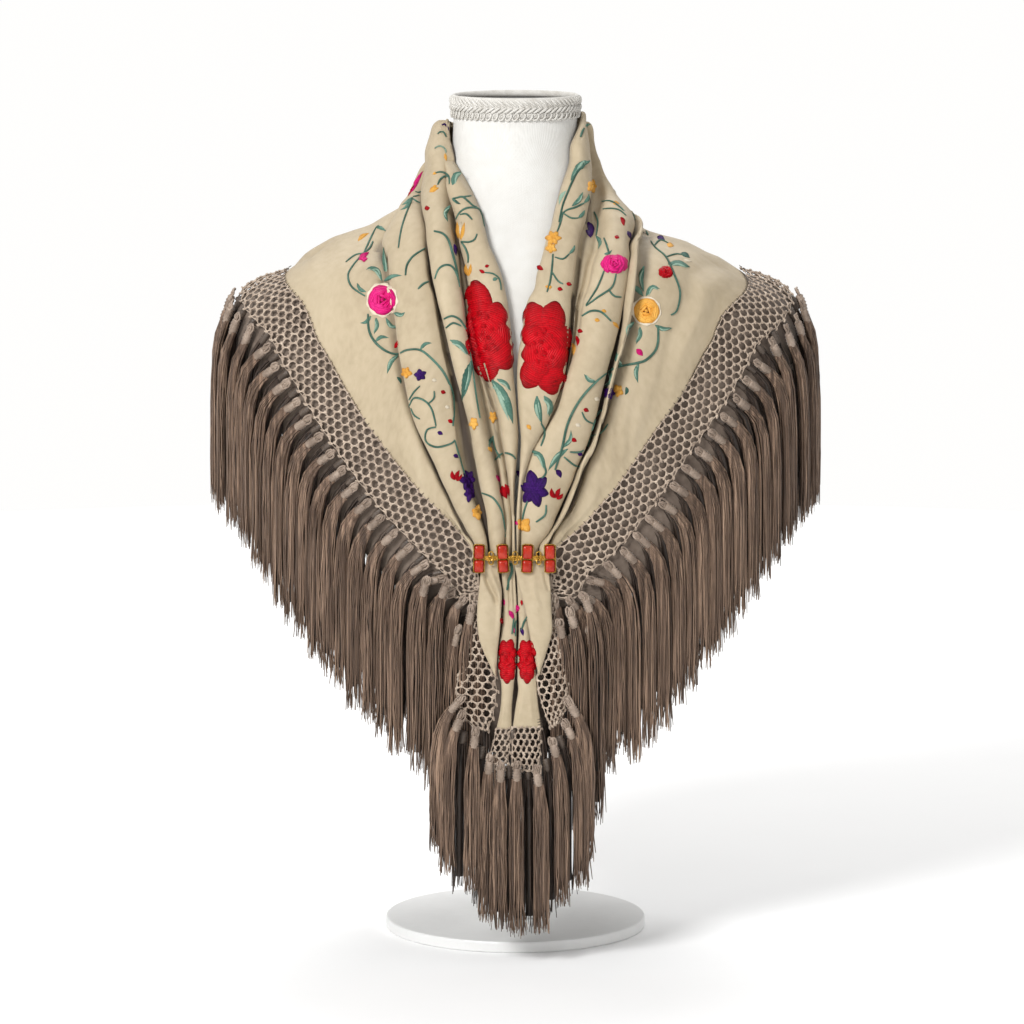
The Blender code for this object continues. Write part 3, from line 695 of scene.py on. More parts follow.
# How much more the left folds stand off on the shoulder.
shoulderLift = {
    "groove": 1.0, "first": -1.0, "recess": 0.0, "second": 7.0, "third": 10.0, "panel": 9.0, "edge": 1.0}
clothAcross = (
    ("hem", "firstOut", 0.02, "first", 0.0), ("hem", "firstOut", 0.0, "first", 0.4),
    ("hem", "firstOut", 0.1, "first", 0.76), ("hem", "firstOut", 0.3, "first", 0.95),
    ("hem", "firstOut", 0.55, "first", 1.0), ("hem", "firstOut", 0.8, "first", 0.9),
    ("hem", "firstOut", 0.97, "first", 0.6), ("hem", "firstOut", 0.99, "first", 0.2),
    ("firstOut", "secondIn", 0.1, "groove", 1.0), ("firstOut", "secondIn", 0.35, "recess", 1.0),
    ("firstOut", "secondIn", 0.65, "recess", 1.0), ("firstOut", "secondIn", 0.9, "groove", 1.0),
    ("secondIn", "secondOut", 0.02, "second", 0.2), ("secondIn", "secondOut", 0.03, "second", 0.6),
    ("secondIn", "secondOut", 0.2, "second", 0.9), ("secondIn", "secondOut", 0.45, "second", 1.0),
    ("secondIn", "secondOut", 0.75, "second", 0.88), ("secondIn", "secondOut", 0.96, "second", 0.55),
    ("secondIn", "secondOut", 0.98, "second", 0.15), ("secondOut", "thirdIn", 0.5, "groove", 1.0),
    ("thirdIn", "thirdOut", 0.02, "third", 0.15), ("thirdIn", "thirdOut", 0.03, "third", 0.6),
    ("thirdIn", "thirdOut", 0.2, "third", 0.88), ("thirdIn", "thirdOut", 0.5, "third", 1.0),
    ("thirdIn", "thirdOut", 0.8, "third", 0.84), ("thirdIn", "thirdOut", 0.99, "third", 0.45),
    ("thirdIn", "thirdOut", 0.98, "third", 0.1), ("thirdOut", "edge", 0.05, "groove", 1.0),
    ("thirdOut", "edge", 0.16, "panel", 0.8), ("thirdOut", "edge", 0.32, "panel", 1.0),
    ("thirdOut", "edge", 0.5, "panel", 1.0), ("thirdOut", "edge", 0.68, "panel", 0.95),
    ("thirdOut", "edge", 0.84, "edge", 1.0), ("thirdOut", "edge", 1.0, "edge", 1.0))
clothSteps = (
    1, 3, 4, 4, 4, 4, 2, 2, 2, 3, 2, 2, 2, 3, 4, 5, 4, 2, 2, 2, 2, 3, 4, 5, 4, 2, 2, 3, 5, 5, 5, 5, 5)
cloth = {"wall": 1.0, "flat": (1.05, 0.33)}


def controlGrid(across, heights):
    floor = alongRows(heights["groove"])

    def make(side):
        lines = []
        for first, second, share, fold, lift in across:
            place = between(side, first, second, share)
            raised = list(heights[fold])
            raised[1] += shoulderLift[fold] * (side < 0)
            crest = alongRows(raised)
            standOff = crest * lift if fold in ("groove", "edge", "recess") else floor + (crest
                    - floor) * lift
            lines.append(placed(side, place[:, 0], place[:, 1], standOff))
        return np.stack(lines, axis=1)

    return bothSides(make)


def wrinkled(grid, amounts):
    # long shallow creases that run with the folds: (width across, length along, height, seed) in millimetres
    normal = normalsOf(grid)
    across, along = lengthsAlong(grid, 1), lengthsAlong(grid[:, grid.shape[1] // 2])
    lift = np.zeros(grid.shape[:2])
    for row in range(grid.shape[0]):
        for column in range(grid.shape[1]):
            for wide, long, height, seed in amounts:
                lift[row, column] += height * noise.noise(Vector((across[row, column] / wide,
                        along[row] / long, seed)))
    return grid + normal * lift[..., None]


def makeCloth():
    control = controlGrid(clothAcross, foldHeights)
    grid = throughAcross(control, clothSteps)
    grid = wrinkled(grid, ((26, 180, 3.2, 3.1), (9, 90, 0.7, 8.4), (45, 60, 2.0, 5.7)))
    made = sheetFrom("embroidered_cloth", grid, silkMaterial, cloth["wall"], -1.0)
    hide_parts("shawl_cloth_back", "shawl_cloth_left", "shawl_cloth_right")
    return made, grid


# Painted shade in the cloth's grooves: span to each side searched for crests, depths where it starts and is
# full, power
grooveShade = {"window": 16.0, "from": 2.6, "to": 8.0, "power": 1.2}


def grooveShadeOf(grid, formTree):
    # how deep each point lies between the crests on both sides of it, from 0 to 1: the mask of painted shade
    # in the grooves
    standing = np.array([formTree.find_nearest(Vector(point))[3]
                         for point in grid.reshape(-1, 3)]).reshape(grid.shape[:2])
    steps = np.linalg.norm(np.diff(grid, axis=1), axis=2)
    before, after = np.zeros_like(standing), np.zeros_like(standing)
    for row in range(grid.shape[0]):
        along = np.concatenate([[0], np.cumsum(steps[row])])
        for column in range(grid.shape[1]):
            first = np.searchsorted(along, along[column] - grooveShade["window"])
            last = np.searchsorted(along, along[column] + grooveShade["window"])
            before[row, column] = standing[row, first:column + 1].max()
            after[row, column] = standing[row, column:last + 1].max()
    deep = np.minimum(before, after) - standing
    return np.clip((deep - grooveShade["from"]) / (grooveShade["to"] - grooveShade["from"]), 0, 1) ** grooveShade["power"]


def keepGrooveShade(made, grid, values):
    # the values by grid place, written on the points as the mask of painted shade that the cloth's material
    # reads
    tree = KDTree(grid.shape[0] * grid.shape[1])
    for index, point in enumerate(grid.reshape(-1, 3)):
        tree.insert(Vector(point) * mm, index)
    tree.balance()
    flat = values.reshape(-1)
    mask = made.data.attributes.new("grooveShade", "FLOAT", "POINT")
    mask.data.foreach_set("value", [flat[tree.find(vert.co)[1]] for vert in made.data.vertices])


clothBody, clothGrid = makeCloth()
formPoints = [vert.co / mm for vert in formBody.data.vertices]
formTree = BVHTree.FromPolygons(formPoints, [tuple(face.vertices) for face in formBody.data.polygons])
keepGrooveShade(clothBody, clothGrid, grooveShadeOf(clothGrid, formTree))
print("cloth made:", clothGrid.shape)


# Stand-off of what lies beyond the cloth's edge: distance from the edge, on the chest, on the shoulder.
beyondEdge = ((0, 7.6, 9.0), (18, 8.4, 16.0), (37, 9.5, 25.0), (55, 11.0, 28.0))


def standOffBeyond(distance, angle):
    distances = [row[0] for row in beyondEdge]
    front = np.interp(distance, distances, [row[1] for row in beyondEdge])
    shoulder = np.interp(distance, distances, [row[2] for row in beyondEdge])
    return front + (shoulder - front) * np.sin(np.clip(angle, 0, math.pi)) ** 4


# The grey-brown layer under the net and the fringe, darker than the silk as painted shade: lines inside
# the edge, then distances beyond it.
underAcross = (
    ("thirdOut", "edge", 0.14), ("thirdOut", "edge", 0.35), ("thirdOut", "edge", 0.6),
    ("thirdOut", "edge", 0.82))
underSteps = (8, 8, 8, 8, 8, 8, 8, 6)
underCloth = {
    "standOff": 3.6, "below": 4.6, "wall": 0.8, "beyond": (0, 20, 40, 58, 74), "flat": (1.3, 0.22)}


def makeUnderCloth():
    def make(side):
        lines = [placed(side, *between(side, *entry).T, underCloth["standOff"]) for entry in underAcross]
        places = walkOut(paths[side]["band"], underCloth["beyond"], 0.35 + 0.65 * reachOf(side))
        for column, distance in enumerate(underCloth["beyond"]):
            standOff = np.maximum(standOffBeyond(distance, places[:, column, 0]) - underCloth["below"],
                                  underCloth["standOff"])
            lines.append(placed(side, *places[:, column].T, standOff))
        return np.stack(lines, axis=1)

    grid = throughAcross(bothSides(make), underSteps)
    grid = wrinkled(grid[[*range(0, len(grid) - 1, 2), len(grid) - 1]], ((16, 70, 0.8, 11.3),))
    made = sheetFrom("under_cloth", grid, shadedUnderMaterial, underCloth["wall"], -1.0)
    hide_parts("under_cloth_back", "under_cloth_left", "under_cloth_right")
    return made


underBody = makeUnderCloth()
print("under cloth made")


# Cords: many runs of points made into tubes by one bevelled curve, then kept as a mesh.
def tubes(name, runs, resolution, material):
    curve = bpy.data.curves.new(name, "CURVE")
    curve.dimensions = "3D"
    curve.bevel_depth = mm
    curve.bevel_resolution = resolution
    curve.use_fill_caps = True
    for points, radii in runs:
        spline = curve.splines.new("POLY")
        spline.points.add(len(points) - 1)
        flat = np.ones((len(points), 4))
        flat[:, :3] = np.asarray(points) * mm
        spline.points.foreach_set("co", flat.ravel())
        spline.points.foreach_set("radius", np.full(len(points), radii, float) if np.isscalar(radii)
                                  else radii)
    holder = linked(name + "_curve", curve)
    mesh = bpy.data.meshes.new_from_object(holder.evaluated_get(bpy.context.evaluated_depsgraph_get()))
    bpy.data.objects.remove(holder)
    bpy.data.curves.remove(curve)
    mesh.materials.clear()
    mesh.materials.append(material)
    mesh.shade_smooth()
    mesh.name = name
    made = linked(name, mesh)
    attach(made, root)
    return made


def cordMaterial(name, settings):
    # twisted silk cord: colour drifts from strand to strand, fine threads in the bump
    made, tree, shader = newMaterial(name, Specular_IOR_Level=settings["specular"],
                                     Sheen_Weight=settings["sheen"],
                                     Sheen_Roughness=0.35)
    where = addNode(tree, "ShaderNodeTexCoord")
    stretched = addNode(tree, "ShaderNodeVectorMath", {0: where.outputs["Object"], 1: settings["stretch"]},
                        operation="MULTIPLY")
    tree.links.new(tinted(tree, stretched.outputs[0], 1.0, settings["tones"], 0.35),
                   shader.inputs["Base Color"])
    stitch = useGroup(tree, stitchGroup, {"Vector": where.outputs["UV"], "Threads": settings["threads"],
                                          "Wander": 0.4})
    gloss = addNode(tree, "ShaderNodeMapRange", {0: stitch.outputs["Tone"], 3: settings["roughness"] - 0.06,
                                                 4: settings["roughness"] + 0.08})
    tree.links.new(gloss.outputs[0], shader.inputs["Roughness"])
    bumpInto(tree, shader, stitch.outputs["Height"], settings["bump"] * mm, 0.7)
    return made


netCord = {
    "tones": ((0.21, 0.155, 0.115), (0.41, 0.32, 0.245), (0.60, 0.49, 0.385)), "stretch": (160, 160, 160),
    "threads": 5.0, "roughness": 0.5, "bump": 0.2, "sheen": 0.2, "specular": 0.4}
fringeThread = {
    "tones": ((0.024, 0.013, 0.008), (0.128, 0.08, 0.053), (0.40, 0.27, 0.187)), "stretch": (420, 420, 7),
    "threads": 3.0, "roughness": 0.42, "bump": 0.1, "sheen": 0.06, "specular": 0.4}
# near-black cores inside the tassels: painted shade in the gaps between the strands
shadeCoreThread = dict(fringeThread, tones=((0.008, 0.005, 0.003), (0.02, 0.013, 0.009), (0.045, 0.03, 0.021)))
wrapThread = {
    "tones": ((0.15, 0.105, 0.076), (0.26, 0.195, 0.148), (0.42, 0.325, 0.255)), "stretch": (90, 90, 90),
    "threads": 4.0, "roughness": 0.4, "bump": 0.15, "sheen": 0.2, "specular": 0.5}
netMaterial = cordMaterial("netCord", netCord)
fringeMaterial = cordMaterial("fringeSilk", fringeThread)
shadeCoreMaterial = cordMaterial("fringeShade", shadeCoreThread)
# darker copies of the fringe thread: painted shade for the tassels of the second row behind
shadedUnderThread = dict(fringeThread, tones=((0.012, 0.007, 0.0045), (0.048, 0.031, 0.022),
                                        (0.12, 0.082, 0.059)))
shadedUnderFringeMaterial = cordMaterial("underFringeInShade", shadedUnderThread)
wrapMaterial = cordMaterial("wrappedHeads", wrapThread)
# darker wrapped heads for those tassels, painted shade; the same thread sews the net's edge stitches
shadedWrapsAndStitches = dict(wrapThread, tones=((0.045, 0.032, 0.024), (0.085, 0.062, 0.046), (0.14, 0.105, 0.08)))
shadedHeadsAndStitchMaterial = cordMaterial("shadedHeadsAndStitches", shadedWrapsAndStitches)


# The knotted net: a grid turned into a brick pattern, its rows pushed into hexagons, its edges into cords.
net = {"row": 6.6, "cord": 1.3, "knot": 1.2, "zigzag": 1.25, "scallop": 0.75, "width": 37.0, "loose": 0.3}


def sampleGrid(grid, row, column):
    rowBase, columnBase = min(int(row), grid.shape[0] - 2), min(int(column), grid.shape[1] - 2)
    down, across = row - rowBase, column - columnBase
    top = grid[rowBase, columnBase] * (1 - across) + grid[rowBase, columnBase + 1] * across
    low = grid[rowBase + 1, columnBase] * (1 - across) + grid[rowBase + 1, columnBase + 1] * across
    return top * (1 - down) + low * down


def knottedNet(name, grid, cells, rows, cord=net["cord"]):
    # cells: how many lie side by side in each row; rows run along the grid's first direction
    columns = cells * 2
    lengths = lengthsAlong(grid[:, grid.shape[1] // 2])
    wanted = np.interp(np.linspace(0, lengths[-1], rows + 1), lengths, np.arange(len(lengths)))
    rowStep = lengths[-1] / rows
    bm = bmesh.new()
    bmesh.ops.create_grid(bm, x_segments=columns, y_segments=rows, size=1)
    place = {v: (round((v.co.y + 1) / 2 * rows), round((v.co.x + 1) / 2 * columns)) for v in bm.verts}
    extra = [e for e in bm.edges if place[e.verts[0]][1] == place[e.verts[1]][1] and not e.is_boundary
             and (place[e.verts[0]][1] + min(place[e.verts[0]][0], place[e.verts[1]][0])) % 2]
    for vert, (row, column) in place.items():
        push = net["zigzag"] / rowStep * (1 if (row + column) % 2 == 0 else -1)
        at = np.interp(min(max(row + push, 0), rows), np.arange(rows + 1), wanted)
        reach = column - net["scallop"] if column == columns and row % 2 else column
        point = sampleGrid(grid, at, reach / columns * (grid.shape[1] - 1))
        loose = Vector([random.uniform(-1, 1) * net["loose"] for _ in range(3)])
        vert.co = (Vector(point) + loose) * mm
    bmesh.ops.dissolve_edges(bm, edges=extra, use_verts=False)
    knots = [(np.array(v.co) / mm, np.array((v.link_edges[0].other_vert(v).co - v.co).normalized()))
             for v in bm.verts]
    bmesh.ops.recalc_face_normals(bm, faces=bm.faces)
    bmesh.ops.wireframe(bm, faces=bm.faces, thickness=cord * mm, offset=0.0, use_replace=True,
                        use_boundary=True,
                        use_even_offset=False)
    made = finishObject(name + "_cords", bm, netMaterial)
    rounding = made.modifiers.new("round", "SUBSURF")
    rounding.levels = rounding.render_levels = 1
    knotRuns = []
    for knot, lie in knots:
        size = net["knot"] * random.uniform(0.85, 1.15)
        lie = lie * size * 1.5
        knotRuns.append(([knot - lie, knot, knot + lie], [0.5 * size, 1.1 * size, 0.5 * size]))
    knotBody = tubes(name + "_knots", knotRuns, 0, netMaterial)
    return made, knotBody


def outwardGrid(distances):
    # the surface beyond the cloth's edge, at these distances from it
    def make(side):
        places = walkOut(paths[side]["band"], distances, reachOf(side))
        columns = [placed(side, places[:, c, 0], places[:, c, 1],
                          standOffBeyond(distances[c], places[:, c, 0]))
                   for c in range(len(distances))]
        return np.stack(columns, axis=1)

    return bothSides(make)


def makeNetBand():
    grid = outwardGrid(np.linspace(0, net["width"], 10))
    length = np.linalg.norm(np.diff(grid[:, 5], axis=0), axis=1).sum()
    rows = int(length / net["row"])
    cords, knots = knottedNet("net_band", grid, 5, rows)
    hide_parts("net_back", "net_left", "net_right")
    print("net rows:", rows, "length:", round(length))


makeNetBand()
print("net made")


# The tassels: wrapped heads on the net's outer edge, strands that leave in the head's direction and hang
# down.
# drop: share of the length, stand-off in front, stand-off at the shoulder.
tassel = {
    "middle": 26.0, "tailLine": 700.0, "turns": 5, "spacing": 17.6, "length": 158, "shoulderLength": 146,
    "head": 11.0, "radius": 4.2, "bend": 17.0, "strands": 40, "stations": 9, "thread": 0.6, "wide": 6.6,
    "deep": 3.8, "core": 2.6, "hiddenCore": 4.4, "out": 55.0, "under": 7.0, "behind": -7.0,
    "drop": ((0.0, 11.0, 30.0), (0.12, 13.0, 35.0), (0.45, 14.0, 37.5), (1.0, 13.5, 38.0))}


def dropAt(share, angle, push=0.0):
    shares = [row[0] for row in tassel["drop"]]
    towardsSide = np.sin(np.clip(angle, 0, math.pi)) ** 4
    front = np.interp(share, shares, [row[1] for row in tassel["drop"]])
    shoulder = np.interp(share, shares, [row[2] for row in tassel["drop"]])
    return front + (shoulder - front) * towardsSide + push


def tasselRun(length):
    # distances down a tassel from its head, and how much of each still follows the head's direction
    run = np.concatenate([np.linspace(-tassel["head"], 0, 5)[:-1], np.linspace(0, length * 1.06, 26)])
    return run, np.where(run < 0, run, tassel["bend"] * (1 - np.exp(-np.maximum(run, 0) / tassel["bend"])))


def tasselPath(side, angle, height, outward, length, push):
    # the middle line of one tassel, from its loops to its tip, with the sideways and outward directions
    run, bend = tasselRun(length)
    angles = angle + outward[0] * bend
    heights = height + outward[1] * bend - (run - bend)
    standOff = dropAt(np.clip(run / length, 0, 1), angles, push)
    points = placed(side, angles, heights, standOff)
    further = placed(side, angles, heights, standOff + 1)
    normals = further - points
    normals[:, 2] = 0
    normals = unit(normals)
    sideways = unit(np.cross(unit(np.gradient(points, axis=0)), normals))
    return run, points, sideways, normals


def strandRuns(path, length, count, chance, spread=1.0, ragged=0.05):
    run, points, sideways, normals = path
    made = []
    for index in range(count):
        turn = 2 * math.pi * (index + chance.uniform(-0.35, 0.35)) / count
        out = math.sqrt(chance.uniform(0.35, 1.0))
        own = length * (1 + chance.uniform(-ragged, ragged * 0.7)) * (0.9 if chance.random() < 0.06 else 1)
        at = (own + 2) * np.linspace(0, 1, tassel["stations"]) ** 1.6 - 2
        opening = np.clip(0.62 + at / 62, 0.62, 1.0)
        phase, wave = chance.uniform(0, 2 * math.pi), chance.uniform(26, 60)
        sway = chance.uniform(0.2, 1.0) * np.clip(at / 50, 0, 1) * np.sin(2 * math.pi * at / wave + phase)
        flare = chance.gauss(0, 1.6) * np.clip((at - own + 28) / 28, 0, 1) ** 2
        across = math.cos(turn) * out * tassel["wide"] * spread * opening + sway + flare
        deep = math.sin(turn) * out * tassel["deep"] * spread * opening + 0.5 * sway
        middle, lateral, outwards = [readAlong(at, run, line) for line in (points, sideways, normals)]
        radii = np.full(len(at), tassel["thread"] * chance.uniform(0.8, 1.15))
        radii[-1] *= 0.5
        made.append((middle + lateral * across[:, None] + outwards * deep[:, None], radii))
    return made


def headRuns(path, chance):
    # a wrapped head: a tube whose rings swell at each turn of the thread
    run, points = path[:2]
    turns = tassel["turns"]
    at = np.linspace(-tassel["head"], 0, turns * 2 + 1)
    middle = readAlong(at, run, points)
    swell = 1 - 0.22 * np.abs(np.linspace(-1, 1, len(at))) ** 3
    ridges = np.where(np.arange(len(at)) % 2 == 1, 1.0, 0.78)
    return [(middle, tassel["radius"] * chance.uniform(0.93, 1.07) * swell * ridges)]


def loopRuns(path, chance, reach=9.0):
    # fat loops and knots between the net and the head
    points, sideways, normals = path[1:]
    top, aside, outwards = points[0], sideways[0], normals[0]
    forward = points[1] - points[0]
    forward /= np.linalg.norm(forward)
    made = []
    for lean in (-1.4, 0.2, 1.5):
        turn = np.linspace(0, 2 * math.pi, 9)
        wide, long = chance.uniform(1.2, 2.0), reach * chance.uniform(0.4, 0.55)
        centre = top + aside * lean * chance.uniform(0.8, 1.3) - forward * (long - 1.5)
        loop = [centre + aside * math.cos(a) * wide + forward * math.sin(a) * long
                + outwards * (0.9 * math.sin(2 * a + lean) + 0.4) for a in turn]
        made.append((loop, chance.uniform(0.8, 1.05)))
    return made


def tasselSet(name, specs, replaced, strands=tassel["strands"], shadeStrandMaterial=None):
    strandList, coreList, headList, loopList = [], [], [], []
    # a set given a shade strand material takes darker heads and thicker dark cores: painted shade
    wraps = shadedHeadsAndStitchMaterial if shadeStrandMaterial else wrapMaterial
    core = tassel["hiddenCore"] if shadeStrandMaterial else tassel["core"]
    for path, length, seed in specs:
        chance = random.Random(seed)
        strandList += strandRuns(path, length, strands, chance)
        at = np.linspace(0, length * 0.9, 10)
        coreList.append((readAlong(at, path[0], path[1]), np.interp(at, [0, 25, length],
                [1.4, core, core * 0.8])))
        headList += headRuns(path, chance)
        if not shadeStrandMaterial:
            loopList += loopRuns(path, chance)
    pieces = [tubes(name + "_strands", strandList, 0, shadeStrandMaterial or fringeMaterial),
              tubes(name + "_shade_cores", coreList, 1, shadeCoreMaterial),
              tubes(name + "_heads", headList, 2, wraps)]
    if loopList:
        pieces.append(tubes(name + "_loops", loopList, 1, wraps))
    if replaced:
        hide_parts(*replaced)
    return pieces


def tasselPlaces(side, rows, distance, offset, spacing=tassel["spacing"]):
    # even places at a distance from the cloth's edge: (angle, height, how both change for each millimetre
    # outwards)
    places = walkOut(paths[side]["band"], [distance - 3, distance], reachOf(side))
    inner, outer = places[rows[0]:rows[1], 0], places[rows[0]:rows[1], 1]
    lengths = lengthsAlong(placed(side, outer[:, 0], outer[:, 1], 10))
    count = int((lengths[-1] - 2 * offset) / spacing) + 1
    made = []
    for along in offset + np.arange(count) * (lengths[-1] - 2 * offset) / (count - 1):
        base, far = readAlong(along, lengths, inner), readAlong(along, lengths, outer)
        made.append((far[0], far[1], (far - base) / 3))
    return made


def edgeTassels(side, rows, distance, offset, share, push, seed):
    specs = []
    for index, (angle, height, outward) in enumerate(tasselPlaces(side, rows, distance, offset)):
        full = tassel["length"] + (tassel["shoulderLength"] - tassel["length"]) * math.sin(angle) ** 8
        length = full * share * random.uniform(0.98, 1.03)
        path = tasselPath(side, angle, height, outward, length, push + random.uniform(-0.5, 0.8))
        if abs(path[1][4][0] - eye["side"]) > tassel["middle"] or angle > math.pi / 2:
            specs.append((path, length, seed + index))
    return specs


def makeFringe():
    for side, name in ((-1, "left"), (1, "right")):
        specs = edgeTassels(side, (shoulderRow, sideRows), tassel["out"], 4.0, 1.0, 0.0, 1000 + side * 300)
        tasselSet("fringe_" + name, specs, ["fringe_" + name])
        # the second row behind the first, in darker strands and heads: painted shade
        specs = edgeTassels(side, (shoulderRow, sideRows), tassel["out"] - tassel["under"], 13.0, 0.96,
                            tassel["behind"], 2000 + side * 300)
        tasselSet("under_fringe_" + name, specs, [], 16, shadedUnderFringeMaterial)
    specs = []
    for side in (-1, 1):
        specs += edgeTassels(side, (0, shoulderRow), tassel["out"], 8.0, 1.0, 0.0, 3000 + side * 300)
    tasselSet("fringe_back", specs, ["fringe_back"], 19)


makeFringe()
print("fringe made")


def creaseLift(u, v, line, width, lift):
    # a ridge (a furrow, where lift is negative) along a line of the picture, fading out towards its ends
    line = np.asarray(line, float)
    nearest, along = np.full(u.shape, 1e9), np.zeros(u.shape)
    for index in range(len(line) - 1):
        start, step = line[index], line[index + 1] - line[index]
        share = np.clip(((u - start[0]) * step[0] + (v - start[1]) * step[1]) / (step @ step), 0, 1)
        away = np.hypot(u - start[0] - share * step[0], v - start[1] - share * step[1])
        closer = away < nearest
        nearest = np.where(closer, away, nearest)
        along = np.where(closer, (index + share) / (len(line) - 1), along)
    return lift * np.exp(-(nearest / width) ** 2) * np.clip(1.6 * np.sin(math.pi * along), 0, 1)


# The tails below the clip: outlines in the picture, depth and roundness at picture heights, creases
# (line, width, lift).
tails = {
    "leaf_left": {
        "left": (
            (480.5, 556), (480.6, 573), (478.3, 594), (476.8, 609), (476.8, 623), (479, 638), (483, 650),
            (489, 664), (494, 675)),
        "right": (
            (499, 556), (499, 575), (502, 590.5), (501.3, 609), (499.7, 632), (498, 650), (497, 664),
            (496.5, 676)), "depth": ((556, 140.0), (574, 142.8), (592, 147.5), (620, 150.5), (676, 152.5)),
        "round": ((556, 0.6), (574, 1.2), (600, 3.6), (676, 2.4)),
        "creases": (
            (((484, 570), (487, 580), (491, 589), (496, 598), (497, 606)), 2.4, -4.2),
            (((489, 566), (494, 580), (499, 592), (500, 612), (498, 640)), 2.2, 1.8),
            (((482, 640), (486, 655), (492, 668)), 2.0, -0.8)), "flat": (0.021, 0.108)},
    "leaf_right": {
        "left": (
            (512, 556), (515, 568), (518, 582), (521, 594), (526, 617), (529.6, 635), (534, 655),
            (538, 674)),
        "right": (
            (549.3, 556), (549.5, 574), (551, 594), (552, 617), (552, 632), (547.5, 650), (543.5, 662.5),
            (540, 675)), "depth": ((556, 140.2), (574, 143.0), (592, 148.5), (620, 151.5), (676, 153.0)),
        "round": ((556, 0.5), (574, 1.0), (600, 3.8), (676, 2.6)),
        "creases": (
            (((520, 578), (527, 586), (536, 597), (543, 612)), 1.6, 0.9),
            (((524, 581), (531, 592), (538, 606)), 2.2, -0.9),
            (((544, 570), (546, 582), (549.5, 592)), 1.3, -2.0),
            (((532, 560), (534, 585), (539, 625)), 3.0, 0.9),
            (((536, 652), (543, 655), (547, 659)), 1.2, 0.5)), "flat": (0.026, 0.108)},
    "strip_left": {
        "left": (
            (501, 556), (502, 577), (503, 600), (501, 632), (498.5, 650), (498, 670), (501, 684),
            (500.5, 706), (496, 729)),
        "right": (
            (515, 556), (515, 575), (517, 600), (516.8, 632), (516.4, 650), (516, 670), (514, 684),
            (512, 708), (511.5, 729)),
        "depth": ((556, 138.5), (574, 141.2), (592, 143.6), (640, 147.0), (680, 149.5), (729, 152.0)),
        "round": ((556, 0.6), (574, 1.0), (610, 3.0), (640, 3.6), (729, 2.6)),
        "creases": (
            (((507.5, 566), (508.5, 585), (509.5, 604), (509, 622)), 1.0, -1.7),
            (((513, 566), (513.5, 590), (514.5, 612)), 0.9, -1.3),
            (((504.5, 570), (505, 590), (505.5, 615)), 0.9, 0.8),
            (((504, 700), (503, 715), (501, 728)), 1.4, 0.6)), "flat": (0.016, 0.152)},
    "strip_right": {
        "left": (
            (516, 556), (517, 580), (518, 610), (518.6, 638), (517.6, 660), (517.3, 680), (518, 690),
            (515, 709), (512.3, 728)),
        "right": (
            (530, 556), (530, 600), (530.5, 625), (531.5, 640), (535, 659), (536.5, 678), (538, 701),
            (541.5, 727)),
        "depth": ((556, 138.0), (574, 140.6), (592, 142.8), (640, 147.0), (680, 149.5), (729, 152.5)),
        "round": ((556, 0.6), (574, 1.0), (610, 2.6), (640, 3.6), (729, 3.0)),
        "creases": (
            (((524, 690), (521, 708), (517, 727)), 2.2, 0.7),
            (((530, 690), (531, 708), (533, 727)), 2.0, 0.6)), "flat": (0.020, 0.152)}}
tailWall = 0.8


def pictureLine(points, at):
    return np.array([smoothValue([(-v, u) for u, v in points], -level) for level in at])


def hungPlaces(spec, rows, columns):
    # picture places between two outlines, row by row, and the depth of each
    share = np.linspace(0, 1, rows)
    ends = []
    for line in (spec["left"], spec["right"]):
        levelsDown = line[0][1] + (line[-1][1] - line[0][1]) * share
        ends.append(np.stack([pictureLine(line, levelsDown), levelsDown], axis=-1))
    across = np.linspace(0, 1, columns)[None, :, None]
    places = ends[0][:, None] * (1 - across) + ends[1][:, None] * across
    depth = np.interp(places[..., 1], *zip(*spec["depth"]))
    depth = depth + np.interp(places[..., 1],
                              *zip(*spec["round"])) * np.sin(math.pi * across[..., 0]) ** 0.6
    for line, width, lift in spec.get("creases", ()):
        depth = depth + creaseLift(places[..., 0], places[..., 1], line, width, lift)
    return np.moveaxis(atDepth(places[..., 0], places[..., 1], depth), 0, -1)


tailGrids = {}


def makeTails():
    for name, spec in tails.items():
        grid = wrinkled(hungPlaces(spec, 70, 26), ((6, 40, 0.35, 2.2), (14, 22, 0.4, 6.1)))
        made = sheetFrom("silk_" + name, grid, silkMaterial, tailWall, -1.0)
        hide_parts("tail_" + name)
        tailGrids[name] = grid


# The darker layer behind the tails, its darkness painted shade, hangs straight down from the chest; foot:
# distance from the middle, height.
underCentre = {
    "reach": 0.46, "top": 345, "standOff": -1.0, "forward": 6.5, "wide": 28, "flat": (0.21, 0.165),
    "foot": ((0, 165), (30, 190), (60, 222), (100, 262))}


def makeUnderCentre():
    angles = np.linspace(-underCentre["reach"], underCentre["reach"], 41)
    outs = bodyPoint(angles, np.full(41, 400.0))[:, 0]
    foot = np.interp(np.abs(outs), *zip(*underCentre["foot"]))
    standOff = underCentre["standOff"] + underCentre["forward"] * np.exp(-(outs / underCentre["wide"]) ** 2)
    columns = [offBody(angles, underCentre["top"] + (foot - underCentre["top"]) * share, standOff)
               for share in np.linspace(0, 1, 26)]
    grid = wrinkled(np.stack(columns, axis=1), ((14, 60, 1.2, 4.6),))
    made = sheetFrom("under_centre", grid, shadedUnderMaterial, underCloth["wall"], -1.0)
    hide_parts("under_cloth_centre")


makeTails()
makeUnderCentre()
print("tails made")


